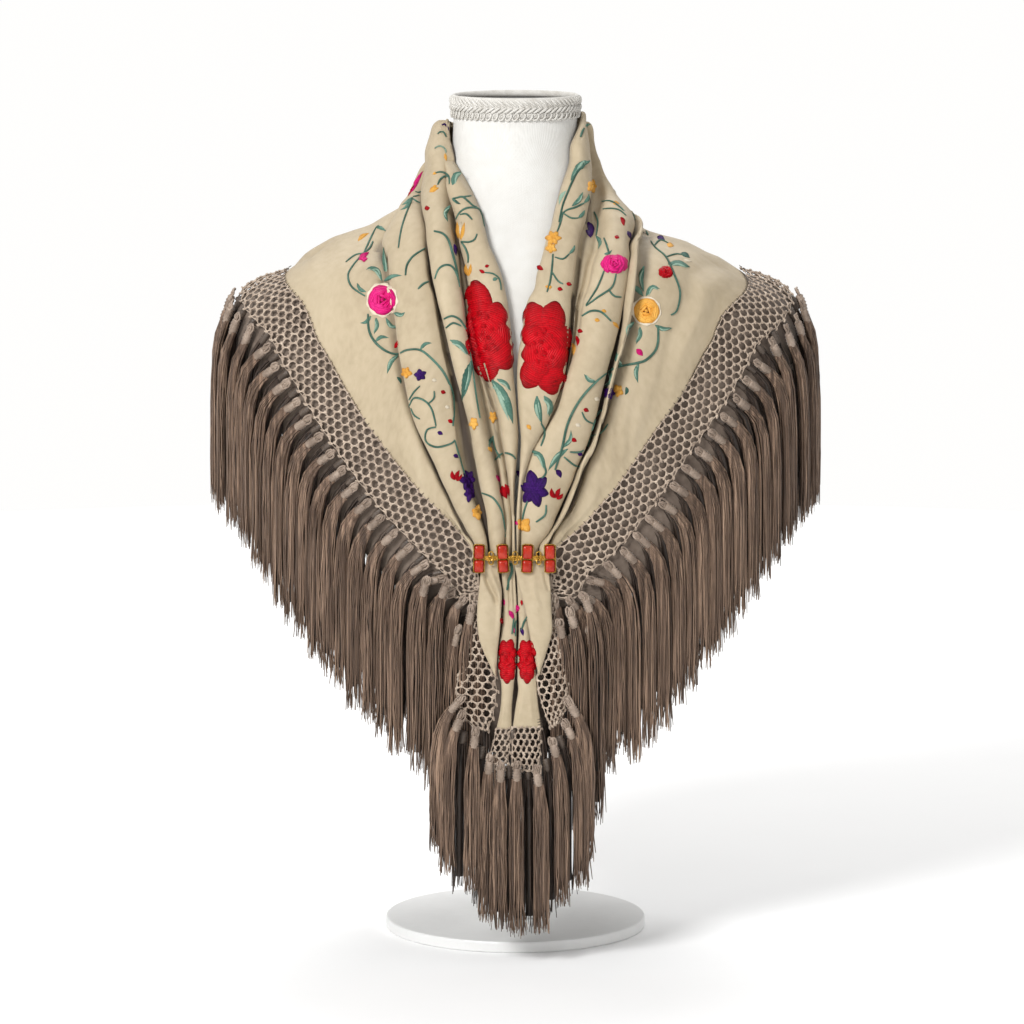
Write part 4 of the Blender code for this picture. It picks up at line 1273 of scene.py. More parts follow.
# The embroidery: drawn where the picture shows it, laid on the cloth by looking through the eye.
thread = {
    "near": 8.0, "rim": 1.6, "arcs": 0.5, "jump": 7.0, "give": 0.45, "stem": 1.05, "sink": 0.25,
    "lift": 0.75, "wall": 0.35, "twist": 1100.0}
threadTones = {
    "red": ((0.12, 0.0, 0.001), (0.46, 0.0, 0.005), (0.62, 0.0, 0.009)),
    "crimson": ((0.12, 0.0, 0.002), (0.42, 0.0, 0.007), (0.56, 0.004, 0.012)),
    "magenta": ((0.32, 0.002, 0.08), (0.66, 0.006, 0.16), (0.80, 0.04, 0.27)),
    "purple": ((0.008, 0.001, 0.026), (0.03, 0.003, 0.092), (0.075, 0.014, 0.20)),
    "orange": ((0.56, 0.22, 0.028), (0.78, 0.37, 0.055), (0.86, 0.52, 0.13)),
    "cream": ((0.60, 0.50, 0.36), (0.74, 0.65, 0.50), (0.82, 0.76, 0.62)),
    "teal": ((0.05, 0.13, 0.098), (0.10, 0.225, 0.17), (0.19, 0.34, 0.265)),
    "deepTeal": ((0.02, 0.062, 0.048), (0.042, 0.115, 0.088), (0.085, 0.19, 0.145)),
    "paleTeal": ((0.20, 0.34, 0.26), (0.33, 0.49, 0.38), (0.46, 0.60, 0.48))}
# Stems of the left front, the right front and the tails: thread tone, width as a share of the usual,
# places in
# the picture.
stems = (
    ("purple", 1.0, ((442, 125), (445, 124), (447.4, 127.2), (448.4, 131))),
    ("teal", 0.9, ((437.7, 134), (440.5, 131.8), (444, 132.4), (446, 137))),
    ("paleTeal", 0.9, ((434.8, 148.5), (438.2, 146.2), (442.3, 146.7), (445.3, 149.6), (446, 152.5))),
    ("teal", 0.9, ((435.4, 173), (440, 171.8), (445.5, 173.2), (449, 177), (449.3, 184))),
    ("teal", 0.9, ((437.7, 184.6), (440.5, 179), (445.5, 176), (449, 177))),
    (
        "teal", 1.0,
        ((452.8, 198.4), (457.2, 197.8), (462.3, 196.7), (467.5, 200.7), (473.3, 205.9), (479, 207.6))),
    ("teal", 0.8, ((462.3, 196.7), (467, 196.4), (471, 195.6))),
    (
        "teal", 1.0,
        (
            (456, 219), (459.5, 212.8), (465.2, 208.7), (472, 207.6), (478.5, 209), (481.8, 215.6),
            (484, 226))), ("teal", 0.9, ((460.1, 214.5), (466.4, 213.9), (472.1, 219.6))),
    ("teal", 0.9, ((461.2, 241.5), (468.7, 242), (474.4, 239.7), (476.9, 234))),
    ("teal", 1.0, ((461.2, 242), (465.2, 247.8), (468.1, 255.8), (468.1, 262.7))),
    ("teal", 0.8, ((484.7, 272.5), (492.8, 273.6), (498.6, 278), (500.6, 284.5), (501, 290))),
    (
        "teal", 1.2,
        ((434.2, 231.1), (442.3, 233.4), (448, 239.7), (452.4, 253.5), (456.8, 270.7), (458, 280))),
    ("teal", 1.0, ((435, 278.8), (438.8, 269), (445.7, 265), (452.4, 267), (457.4, 276.5), (459.6, 287))),
    ("teal", 1.0, ((444, 319), (452, 316), (460, 320), (466, 329))),
    ("teal", 0.9, ((446, 328), (453, 323), (461, 326))),
    ("teal", 0.8, ((415.3, 191.5), (419.3, 192.7), (422.2, 189.2))),
    ("teal", 0.8, ((413, 196.7), (419.3, 195), (422.7, 190.4))),
    ("teal", 0.9, ((412.4, 198.4), (418, 202.4), (422.5, 203))),
    ("teal", 0.9, ((412.4, 198.4), (407.2, 211), (403.2, 222.5), (400.4, 234), (398.4, 247.8))),
    ("teal", 1.0, ((405.5, 275.3), (407, 265), (413.6, 255.8), (425, 248.3))),
    ("teal", 1.0, ((418.1, 289), (423.9, 283.4), (433.5, 280))),
    ("teal", 0.9, ((363.6, 253.5), (369.9, 239.7), (376, 228), (379, 225.5))),
    ("teal", 0.9, ((363.6, 253.5), (369.9, 247.8), (372.8, 241.5))),
    ("teal", 0.9, ((346, 262), (355, 255.2), (363.6, 253.4))),
    ("teal", 0.9, ((365, 296), (352, 287), (348, 276), (352, 267), (360, 257))),
    (
        "teal", 1.1,
        (
            (368, 314), (369, 330), (375, 342), (386, 351), (397, 354), (407, 350), (420, 350), (432, 359),
            (444, 373), (452, 391), (454, 409), (453, 426))),
    ("teal", 0.9, ((409, 407), (414, 398), (425, 401), (432, 410), (436, 426))),
    ("teal", 0.9, ((436, 427), (427, 430), (426, 441), (436, 447), (450, 444), (455, 440))),
    ("teal", 0.8, ((420, 386), (414, 392), (409, 400))),
    ("teal", 0.8, ((411, 408), (414, 415), (420, 419))),
    ("teal", 0.8, ((428, 404), (434, 398), (434, 391))),
    ("teal", 0.9, ((455, 441), (458, 452), (462, 466), (466, 480))),
    ("teal", 0.9, ((482, 493), (493, 498), (501, 510), (504, 524), (505.5, 537))),
    ("teal", 0.9, ((495, 460), (503, 453), (512, 455), (517, 461))),
    ("teal", 0.9, ((493, 436), (495, 447), (500, 458))),
    ("teal", 0.9, ((470, 352), (473, 372), (476, 395), (480, 418))),
    ("teal", 1.1, ((590, 127), (584, 128.5), (580.5, 137))),
    ("teal", 1.0, ((589.5, 161), (579, 169), (573, 180), (567, 194), (562.5, 206), (559, 222))),
    ("teal", 0.9, ((584, 203), (576, 207), (567, 210), (563, 213))),
    ("teal", 0.9, ((563, 212), (560, 224), (557, 232))),
    ("teal", 0.8, ((563, 213), (571, 218), (578, 218))),
    ("teal", 0.9, ((553, 254), (552, 268), (550, 282), (547, 292))),
    ("teal", 0.8, ((555, 257), (563, 259), (569, 254))),
    ("teal", 0.8, ((552, 272), (558, 281), (563, 284))),
    ("teal", 1.0, ((602, 201.5), (610, 201), (617, 205), (624, 211))),
    ("teal", 0.9, ((603, 209), (611, 208.5), (619, 210), (626, 215.6))),
    ("teal", 0.9, ((603, 172.6), (608, 175.6), (612, 180), (617, 187))),
    ("teal", 1.0, ((614, 185), (622, 195), (630, 208), (635, 220))),
    ("teal", 0.9, ((628, 221), (632, 219), (635.4, 215.6))),
    ("teal", 0.9, ((604, 238), (607, 246), (609, 254))),
    ("teal", 0.9, ((604, 271), (597, 288), (586, 305))),
    ("teal", 0.9, ((616, 274), (612, 287), (598, 297), (586, 306))),
    ("teal", 0.9, ((609, 290), (614, 296), (621, 297))),
    ("teal", 1.0, ((582, 316), (591, 311), (601, 312), (611, 321))),
    ("teal", 0.9, ((594, 212), (598, 222), (596, 236))),
    ("teal", 1.0, ((646, 231), (654, 246), (666, 257), (674, 274), (680, 292), (677, 310), (671, 315))),
    ("teal", 0.9, ((654, 246), (660, 240), (668, 243))),
    ("teal", 0.9, ((666, 257), (676, 254), (683, 255))),
    (
        "teal", 1.1,
        (
            (658, 326), (658, 341), (655, 351), (646, 360), (637, 363), (622, 366), (610, 371), (596, 382),
            (580, 400), (568, 423), (562, 448), (555, 470))),
    ("teal", 0.9, ((604, 408), (597, 415), (592, 430), (588, 447))),
    ("teal", 0.8, ((594, 424), (586, 420), (582, 412))),
    ("teal", 0.8, ((591, 436), (601, 433), (608, 424))),
    ("teal", 0.9, ((588, 447), (580, 452), (570, 452))),
    ("teal", 0.9, ((564, 457), (574, 465), (581, 467))),
    ("teal", 0.9, ((541, 458), (546, 472), (540, 480))),
    ("teal", 0.9, ((528, 500), (524, 512), (521, 530))),
    ("teal", 0.9, ((546, 505), (545, 515), (536, 522))),
    ("teal", 1.0, ((541, 423), (545, 433), (541, 446))),
    ("teal", 0.9, ((517, 618), (515, 626), (515.5, 636))),
    ("teal", 0.9, ((514, 618), (513, 627), (512, 634))),
    ("teal", 0.9, ((527, 617), (524, 622), (521.5, 630))),
    ("teal", 1.2, ((511, 563), (512, 571), (509, 580), (507, 590))))
# Leaves, then single petals and buds: tone, places from base to tip, greatest width.
leaves = (
    ("teal", ((452.4, 185), (455.5, 176), (461, 171.5)), 7),
    ("paleTeal", ((453, 183), (457, 175), (462, 173)), 3),
    ("teal", ((450.5, 205.5), (445.4, 213), (448, 222)), 4.5),
    ("teal", ((412.4, 197), (407, 202), (401.5, 205)), 3.4),
    ("teal", ((412, 200), (406, 207), (400, 210)), 3.4),
    ("teal", ((376.8, 227.5), (381, 228), (386, 231)), 4),
    ("teal", ((382, 281), (385.6, 270.7), (384.3, 259.3), (383.2, 247)), 4.8),
    ("teal", ((382, 281), (377.4, 270.7), (370.5, 267.5), (366, 270)), 4.8),
    ("teal", ((384, 281), (393, 276), (402, 275.5)), 4.2),
    ("paleTeal", ((381, 280), (376, 272), (370, 269)), 2),
    ("teal", ((394, 313), (401, 315), (405, 312)), 4.5), ("teal", ((371, 316), (366, 322), (360, 323)), 4),
    ("teal", ((376, 318), (377, 326), (374, 334)), 4.5),
    ("teal", ((386, 318), (391, 326), (399, 327)), 4.5), ("teal", ((366, 292), (360, 289), (357, 283)), 4),
    ("teal", ((398, 355), (391, 362), (387, 374)), 5), ("teal", ((375, 342), (381, 337), (389, 338)), 4),
    ("teal", ((420, 350), (425, 344), (432, 343)), 4), ("teal", ((450, 340), (460, 345), (470, 356)), 7),
    ("deepTeal", ((471, 361), (466, 378), (462, 401)), 9),
    ("teal", ((471, 361), (469, 378), (464, 398)), 4.5),
    ("teal", ((491, 379), (500, 391), (508, 406), (513, 424)), 11),
    ("paleTeal", ((493, 383), (501, 394), (509, 409)), 4),
    ("teal", ((497, 379), (506, 384), (511, 391)), 5), ("teal", ((494, 436), (490, 442), (489, 448)), 3.5),
    ("teal", ((492.8, 280.5), (495, 279), (498, 278.8)), 4),
    ("deepTeal", ((397, 377), (400, 380), (401, 384)), 3.5),
    ("teal", ((452, 198.4), (455, 201), (457, 204)), 3),
    ("deepTeal", ((455, 200), (458, 203), (461, 204)), 2.5),
    ("teal", ((584, 128.5), (587, 125), (591, 124)), 3),
    ("teal", ((589, 162), (584, 163), (576, 171), (570, 184)), 7),
    ("paleTeal", ((588, 163), (582, 166), (576, 173)), 3),
    ("paleTeal", ((566, 191), (561, 197), (559, 205)), 4),
    ("teal", ((584, 203), (588, 199), (589, 194)), 4), ("teal", ((572, 206), (579, 200), (583, 192)), 5),
    ("teal", ((578, 218), (582, 215), (585, 210)), 4), ("teal", ((569, 254), (573, 250), (575, 245)), 3.5),
    ("teal", ((604, 254), (609, 253), (612, 250)), 3), ("teal", ((644, 266), (641, 278), (644, 294)), 5),
    ("teal", ((646, 296), (652, 287), (660, 289)), 5), ("teal", ((643, 296), (636, 288), (628, 287)), 5),
    ("teal", ((668, 264), (678, 263), (690, 267)), 6),
    ("deepTeal", ((681, 253), (686, 255), (690, 258)), 5),
    ("cream", ((684, 259), (688, 261), (692, 261)), 3), ("teal", ((634, 322), (628, 328), (627, 337)), 5),
    ("teal", ((640, 327), (640, 335), (636, 344)), 5), ("teal", ((655, 325), (663, 329), (672, 328)), 5),
    ("teal", ((639, 363), (636, 372), (638, 383)), 5), ("teal", ((622, 366), (617, 360), (617, 352)), 4.5),
    ("teal", ((610, 371), (611, 380), (605, 387)), 4.5),
    ("deepTeal", ((626, 387), (627, 391), (625, 395)), 4),
    ("teal", ((568, 449), (557, 457), (548, 471)), 6), ("teal", ((532, 451), (540, 456), (546, 471)), 6),
    ("teal", ((537, 396), (538, 409), (542, 424)), 8), ("teal", ((544, 396), (550, 405), (549, 417)), 7),
    ("paleTeal", ((538, 398), (539, 409), (541, 420)), 3),
    ("teal", ((596, 382), (589, 380), (584, 374)), 4.5), ("teal", ((596, 236), (600, 242), (598, 249)), 4),
    ("teal", ((562, 448), (570, 440), (571, 430)), 4.5), ("teal", ((511, 563), (508, 566), (505, 565)), 3),
    ("orange", ((444.8, 153.5), (445.6, 157), (446.4, 161)), 3.2),
    ("orange", ((437, 172.5), (434.5, 173.2), (432.6, 174.6)), 3),
    ("orange", ((429.6, 192), (434, 189), (439, 188)), 5.5),
    ("orange", ((433, 188), (435, 186), (437, 185.5)), 3),
    ("orange", ((459.5, 240), (458, 231), (457, 221.5)), 4.5),
    ("orange", ((460.5, 240), (462.5, 232), (464.5, 222.5)), 4.5),
    ("cream", ((460, 236), (460.2, 228), (460.6, 221)), 2.5),
    ("orange", ((468, 276), (466, 270), (465.6, 264)), 4),
    ("orange", ((468.6, 276), (470, 270), (471, 263.6)), 4),
    ("magenta", ((408.4, 195), (415.8, 182), (423, 171)), 6),
    ("crimson", ((408, 196), (411, 190), (414, 185)), 2.6),
    ("magenta", ((357.3, 259.5), (362, 257), (369, 252)), 6),
    ("orange", ((358, 241), (362, 236.5), (369, 233)), 4.2),
    ("purple", ((454.5, 244), (455.4, 250), (456.4, 256)), 4),
    ("crimson", ((485, 267), (487, 266), (489.4, 265.6)), 3.6),
    ("crimson", ((484.6, 273), (482, 271.4), (479, 269.6)), 3.8),
    ("crimson", ((424.6, 208.6), (427, 208.2), (430, 207.8)), 5),
    ("crimson", ((394.5, 348), (396.5, 345), (397.5, 340.5)), 4.6),
    ("crimson", ((441, 391), (443, 392), (446, 393)), 4.5),
    ("cream", ((432, 380), (434, 380), (437, 381)), 4), ("cream", ((445, 407), (447, 407), (450, 408)), 4),
    ("crimson", ((448, 420), (450, 421), (453, 423)), 4.4),
    ("purple", ((437.5, 432), (440, 433), (443, 434.5)), 4.6),
    ("purple", ((453.5, 455), (456, 456), (458.5, 458)), 4.6),
    ("crimson", ((455, 480), (452.5, 476), (452, 470.5)), 5),
    ("crimson", ((456, 480), (457, 475), (459.5, 470)), 5),
    ("crimson", ((456.5, 481), (460, 478), (462, 474)), 4),
    ("purple", ((516.5, 471), (519, 474), (520, 478)), 4.5),
    ("orange", ((488, 447), (490, 449), (492, 452)), 4),
    ("magenta", ((496, 475), (498, 478), (500, 482)), 4),
    ("crimson", ((502, 486), (504, 492), (507, 499)), 8),
    ("crimson", ((505, 484), (508, 490), (509, 496)), 5),
    ("orange", ((552, 287), (548.5, 287), (545, 286)), 4.4),
    ("crimson", ((537, 266), (540, 268), (543.5, 270)), 5),
    ("crimson", ((557.4, 288.6), (560, 289), (563, 290)), 4.4),
    ("crimson", ((566.4, 283.6), (569, 284), (572, 285)), 4.4),
    ("orange", ((612.6, 202), (616, 203), (619.6, 203.4)), 4.4),
    ("crimson", ((621, 217), (623, 221), (624, 226)), 4.6),
    ("crimson", ((614.6, 236.6), (617, 237), (619.6, 238)), 4.2),
    ("purple", ((627.6, 231), (629.6, 235), (630.6, 239)), 4.4),
    ("purple", ((622, 197), (625, 200), (627, 204)), 4),
    ("orange", ((594.6, 319.6), (597, 320), (600, 321)), 4.2),
    ("orange", ((601.6, 310.4), (604, 311), (606.6, 312)), 3.6),
    ("orange", ((613, 322), (616, 325), (619, 328.6)), 3.8),
    ("crimson", ((577.6, 330), (580, 331), (583, 332)), 4.6),
    ("purple", ((657, 237), (661, 238), (665, 240)), 5.4),
    ("orange", ((667, 243.6), (670, 245), (674, 246)), 5),
    ("magenta", ((636.6, 349), (639.5, 352), (643, 356)), 6.4),
    ("cream", ((594.6, 398.4), (597, 399), (600, 400)), 4.6),
    ("crimson", ((583.6, 409), (586, 410), (589, 411.6)), 4.8),
    ("cream", ((575.6, 424), (578, 425), (581, 426.6)), 4.4),
    ("crimson", ((571.4, 439), (574, 440), (577, 441.6)), 4.8),
    ("purple", ((577.6, 453), (580, 454), (583, 455.6)), 4.8),
    ("purple", ((556, 470), (559, 473), (561, 478)), 6),
    ("crimson", ((555.5, 498), (552, 494), (551.6, 488)), 5.4),
    ("crimson", ((556.5, 498), (558, 492), (560.5, 488)), 5),
    ("crimson", ((556.5, 499), (560.5, 497), (563, 493.4)), 4.4),
    ("magenta", ((513.6, 522), (516, 523), (518.6, 524.6)), 4.2),
    ("orange", ((526.6, 425), (529, 427), (531, 430)), 4.4),
    ("orange", ((572, 343), (574, 349), (573, 356)), 5),
    ("crimson", ((576, 336), (578, 341), (577, 346)), 4),
    ("purple", ((588, 222), (591, 229), (592, 237)), 7),
    ("purple", ((586, 230), (589, 233), (591, 238)), 5),
    ("magenta", ((502.6, 599), (503.8, 602), (504.2, 606)), 3.8),
    ("magenta", ((509, 610.6), (511.4, 614), (514, 620)), 5),
    ("magenta", ((517.6, 605), (518, 608.6), (517, 613)), 3.6),
    ("magenta", ((514.6, 627), (514.6, 630), (514, 633)), 4),
    ("crimson", ((500.6, 618), (501.4, 621), (501, 624)), 3.4),
    ("purple", ((520.6, 627.6), (522, 631), (523.4, 636)), 4.2),
    ("crimson", ((521, 600), (521.8, 603), (521.6, 606)), 3))
# Round flowers: tone, middle, half width and half height, petals, turn in degrees.
blooms = (
    ("orange", (406, 373), (6, 6), 5, 10), ("purple", (420, 375), (6.5, 6), 5, 40),
    ("orange", (474, 423), (5, 6.5), 5, 20), ("purple", (468, 480), (8, 12), 6, 0),
    ("purple", (470, 494), (6, 8), 5, 30), ("orange", (477, 513), (5.5, 8), 5, 0),
    ("orange", (493, 417), (4.5, 6), 5, 15), ("orange", (553, 238), (8, 8), 6, 0),
    ("orange", (551, 248), (6, 6), 5, 30), ("purple", (609, 393), (6.5, 7), 5, 0),
    ("orange", (618, 390.5), (5.5, 7), 5, 30), ("purple", (534, 490), (16, 19), 6, 14),
    ("orange", (524, 525), (8, 8), 4, 45), ("magenta", (364, 259), (3.4, 3.4), 4, 0),
    ("orange", (592, 186), (5, 7), 5, 0))
roses = (
    ("magenta", "cream", (382, 300), (15.5, 17), 5), ("orange", "cream", (646.5, 311), (14.5, 14.5), 50),
    ("magenta", "magenta", (614.5, 264), (13.5, 9), 20), ("crimson", "crimson", (666, 272), (7.5, 6), 0))
# Great flowers: the heart, then petals as (tip, width), laid from the outside in, each so many times as
# broad;
# last a heart of small round petals.
greatFlowers = (
    {
        "heart": (485, 333),
        "petals": (
            ((474, 280), 17), ((499, 302), 18), ((512, 333), 19), ((510, 369), 20), ((490, 382), 17),
            ((470, 356), 16), ((467, 318), 16), ((478, 296), 15), ((499, 318), 16), ((503, 351), 17),
            ((484, 369), 16), ((472, 342), 13), ((472, 307), 13)),
        "buds": (
            (473, 318), (480, 314), (487, 318), (476, 326), (484, 326), (492, 328), (474, 336), (481, 335),
            (489, 338), (477, 345), (486, 347), (494, 345)), "budSize": 4.6, "broad": 1.7},
    {
        "heart": (544, 350),
        "petals": (
            ((530, 302), 17), ((556, 301), 18), ((570, 328), 18), ((567, 364), 18), ((553, 395), 20),
            ((525, 388), 17), ((521, 355), 17), ((527, 322), 16), ((546, 311), 16), ((560, 336), 16),
            ((556, 370), 16), ((534, 381), 15), ((525, 350), 14)),
        "buds": (
            (536, 334), (544, 331), (551, 337), (534, 343), (541, 342), (549, 347), (536, 352), (544, 354),
            (552, 357), (538, 362), (547, 364)), "budSize": 4.6, "broad": 1.7},
    {
        "heart": (507, 660),
        "petals": (
            ((503, 640), 9), ((511.5, 639), 9), ((515, 648), 9), ((515.4, 659), 9), ((515, 670), 9),
            ((512.5, 680), 8), ((507, 684), 9), ((502, 679), 8), ((499.6, 670), 9), ((499, 659), 9),
            ((499.6, 648), 9), ((506, 648), 8), ((510, 655), 8), ((510, 666), 8), ((505, 673), 8),
            ((503, 663), 8)), "buds": ((506.5, 657), (507.5, 662)), "budSize": 3.4, "broad": 1.2},
    {
        "heart": (527, 660),
        "petals": (
            ((522.5, 640), 9), ((530, 640), 9), ((534, 648), 9), ((535.4, 659), 9), ((534.6, 670), 9),
            ((532, 679), 8), ((527, 684), 9), ((522, 679), 8), ((519.6, 670), 9), ((519, 659), 9),
            ((519.6, 648), 9), ((526, 648), 8), ((530, 655), 8), ((530, 666), 8), ((525, 673), 8),
            ((523, 663), 8)), "buds": ((526.5, 657), (527.5, 662)), "budSize": 3.4, "broad": 1.2})


def treeOf(grids):
    points, faces = [], []
    for grid in grids:
        rows, columns = grid.shape[:2]
        base = len(points)
        points += [Vector(point) for point in grid.reshape(-1, 3)]
        for row in range(rows - 1):
            start = base + row * columns
            faces += [(start + c, start + c + 1, start + c + columns + 1, start + c + columns)
                      for c in range(columns - 1)]
    return BVHTree.FromPolygons(points, faces)


stitchedTree = treeOf([clothGrid] + list(tailGrids.values()))
eyePoint = Vector((eye["side"], -eye["distance"], eye["height"]))


def touch(u, v):
    # where the eye meets the cloth at a place of the picture, and the way the cloth faces there
    ray = Vector(rayTo(u, v)).normalized()
    place, normal, _, _ = stitchedTree.ray_cast(eyePoint, ray)
    if place is None:
        return None, None
    if normal.dot(ray) > 0:
        normal = -normal
    return place, (normal * 0.4 - ray * 0.6).normalized()


def threadMaterial(name, tones, source="UV"):
    # silk floss: threads side by side, each with its own tone, glossy along its length, with painted shade
    # in the gaps between threads and at each petal's rim
    made, tree, shader = newMaterial(name, Specular_IOR_Level=0.16)
    where = addNode(tree, "ShaderNodeTexCoord")
    stitch = useGroup(tree, stitchGroup, {"Vector": where.outputs[source], "Threads": thread["twist"],
                                          "Wander": 0.5})
    tint = tinted(tree, where.outputs["Object"], 90.0, tones, 0.5)
    # painted shade in the gaps between the laid threads
    threadGapShade = addNode(tree, "ShaderNodeMapRange", {0: stitch.outputs["Height"], 1: 0.0, 2: 0.6, 3: 0.35,
                                                   4: 0.0})
    shaded = addNode(tree, "ShaderNodeMix", {0: threadGapShade.outputs[0], 6: tint, 7: (*tones[0], 1)},
                     data_type="RGBA")
    # painted shade: each petal darkens towards its rim, where it meets the next
    mask = addNode(tree, "ShaderNodeAttribute", {}, attribute_name="rim")
    edges = addNode(tree, "ShaderNodeMapRange", {0: mask.outputs["Fac"], 1: 0.2, 2: 1.0, 3: 0.0, 4: 0.85})
    rimShaded = addNode(tree, "ShaderNodeMix", {0: edges.outputs[0], 6: shaded.outputs[2], 7: (*tones[0], 1)},
                     data_type="RGBA")
    each = addNode(tree, "ShaderNodeMapRange", {0: stitch.outputs["Tone"], 3: 0.0, 4: 0.3})
    varied = addNode(tree, "ShaderNodeMix", {0: each.outputs[0], 6: rimShaded.outputs[2], 7: (*tones[2], 1)},
                     data_type="RGBA")
    tree.links.new(varied.outputs[2], shader.inputs["Base Color"])
    gloss = addNode(tree, "ShaderNodeMapRange", {0: stitch.outputs["Tone"], 3: 0.36, 4: 0.5})
    tree.links.new(gloss.outputs[0], shader.inputs["Roughness"])
    bumpInto(tree, shader, stitch.outputs["Height"], 0.5 * mm, 0.9)
    return made


petalShapes = {"leaf": (0.8, 0.85), "round": (0.8, 0.5), "fan": (1.5, 0.34)}


def petalShape(share, kind):
    middle, blunt = petalShapes[kind]
    return math.sin(math.pi * share ** middle) ** blunt


def touchNear(u, v):
    # where the picture's place just misses the cloth, the nearest one towards the middle is taken
    for shift in np.arange(0, 7, 1.5):
        place, normal = touch(u + math.copysign(shift, 512 - u), v)
        if place is not None:
            return place, normal
    return None, None


def addPetal(bm, line, width, kind="leaf", lift=thread["lift"], rise=0.0, slant=0.8, steps=(9, 5), bow=0.0):
    # one padded patch of satin stitch: a small grid laid over the cloth between a base and a tip
    rows, columns = steps
    centre = resample(line, rows, around=1)
    forward = unit(np.gradient(centre, axis=0))
    points = []
    for row in range(rows):
        share = row / (rows - 1)
        half = width / 2 * max(petalShape(min(max(share, 0.03), 0.985), kind), 0.06)
        for column in range(columns):
            across = column / (columns - 1) * 2 - 1
            u, v = centre[row] + np.array([-forward[row][1], forward[row][0]]) * half * across
            u, v = np.array((u, v)) - forward[row] * bow * across * across * share
            place, normal = touchNear(u, v)
            if place is None:
                return
            ends = min(1.0, 3.0 * share + 0.15, 3.0 * (1 - share) + 0.1)
            height = (lift + rise * share) * math.sqrt(max(1 - across * across,
                                                           0)) * ends - thread["sink"] * (abs(across) > 0.9)
            points.append((place, normal, height, across * half, share))
    depths = sorted(point[0].y for point in points)
    front = depths[len(depths) // 2] + thread["give"] * width
    back = depths[len(depths) // 2] - max(2 * thread["give"] * width, thread["near"])
    uvLayer = bm.loops.layers.uv.verify()
    rim = bm.verts.layers.float.get("rim") or bm.verts.layers.float.new("rim")
    made = bmesh.ops.create_grid(bm, x_segments=columns - 1, y_segments=rows - 1, size=1)["verts"]
    length = float(np.linalg.norm(np.diff(centre, axis=0), axis=1).sum())
    where = {}
    for vert in made:
        index = round((vert.co.y + 1) / 2 * (rows - 1)) * columns + round((vert.co.x + 1) / 2 * (columns
                - 1))
        place, normal, height, out, share = points[index]
        across = (index % columns) / (columns - 1) * 2 - 1
        # how much painted shade the petal gets here: most at its sides and tip
        vert[rim] = max(abs(across) ** thread["rim"], share ** (2 * thread["rim"]))
        where[vert] = (share * length, out) if bow else (out + slant * share * length, share * length)
        depth = max(min(place.y, front), back)
        vert.co = eyePoint + (place - eyePoint) * ((depth - eyePoint.y) / (place.y
                - eyePoint.y)) + normal * height
    faces = {face for vert in made for face in vert.link_faces}
    for face in faces:
        for loop in face.loops:
            loop[uvLayer].uv = Vector(where[loop.vert]) * (thread["arcs"] if bow else 1) * 0.88 * mm


def addBloom(patches, tone, middle, size, count, turn):
    # a small flower of separate padded petals, a little uneven
    for index in range(count):
        angle = math.radians(turn + 360 * index / count + random.uniform(-8, 8))
        reach = random.uniform(0.86, 1.1)
        tip = (middle[0] + math.cos(angle) * size[0] * reach, middle[1] + math.sin(angle) * size[1] * reach)
        base = (middle[0] - math.cos(angle) * size[0] * 0.16, middle[1] - math.sin(angle) * size[1] * 0.16)
        halfway = ((base[0] + tip[0]) / 2, (base[1] + tip[1]) / 2)
        width = (size[0] + size[1]) * math.sin(math.pi / count) * random.uniform(0.72, 0.88)
        addPetal(patches[tone], (base, halfway, tip), width, "round", 1.0 + 0.35 * (index % 2), 0.6, 0.25,
                 (9, 7))


def addRose(patches, tone, ground, middle, size, turn):
    # a scalloped ground, then rings of petals that rise towards the heart
    for ring, (share, count, colour, lift) in enumerate(((1.06, 9, ground, 0.35), (0.94, 6, tone, 1.8),
                                                         (0.64, 5, tone, 2.5),
                                                         (0.34, 3, tone, 3.0))):
        for index in range(count):
            angle = math.radians(turn + 17 * ring + 360 * index / count)
            tip = np.array((middle[0] + math.cos(angle) * size[0] * share,
                            middle[1] + math.sin(angle) * size[1] * share))
            base = np.array(middle) + (tip - middle) * (0.3 if ring else 0.5)
            width = 2 * math.pi * share * (size[0] + size[1]) / 2 / count * 1.25
            line = (tuple(base), tuple((base + tip) / 2), tuple(tip))
            addPetal(patches[colour], line, width, "fan", lift + 0.4 * (index % 2), 0.4, 0.0, (9, 9),
                     width * 0.1)
    heart = 0.16 * size[0]
    addPetal(patches[tone], ((middle[0] - heart, middle[1]), middle, (middle[0] + heart, middle[1])),
             heart * 2.4, "round", 3.4)


def addGreatFlower(patches, spec):
    # broad petals from the heart outwards, the outer ring lowest, each sewn in arcs that follow its rim
    heart = np.array(spec["heart"], dtype=float)
    petals = [(np.array(tip, dtype=float), width * spec["broad"]) for tip, width in spec["petals"]]
    furthest = max(np.linalg.norm(tip - heart) for tip, _ in petals)
    for index, (tip, width) in enumerate(petals):
        reach = float(np.linalg.norm(tip - heart)) / furthest
        base = heart - (tip - heart) * 0.1
        way = (tip - heart) / np.linalg.norm(tip - heart)
        bend = np.array((-way[1], way[0])) * random.uniform(-1, 1) * width * 0.06
        lift = 0.7 + 1.6 * (1 - reach) + 0.45 * (index % 2)
        line = (tuple(base), tuple((base + tip) / 2 + bend), tuple(tip))
        addPetal(patches["red"], line, width, "fan", lift, 0.9, 0.0, (13, 9), width * 0.11)
    size = spec["budSize"]
    for u, v in spec["buds"]:
        turn = random.uniform(0, math.pi)
        way = np.array((math.cos(turn), math.sin(turn))) * size
        line = ((u - way[0], v - way[1]), (u, v), (u + way[0], v + way[1]))
        addPetal(patches["red"], line, size * 1.7, "round", 2.7, 0.0, 0.0, (7, 5))


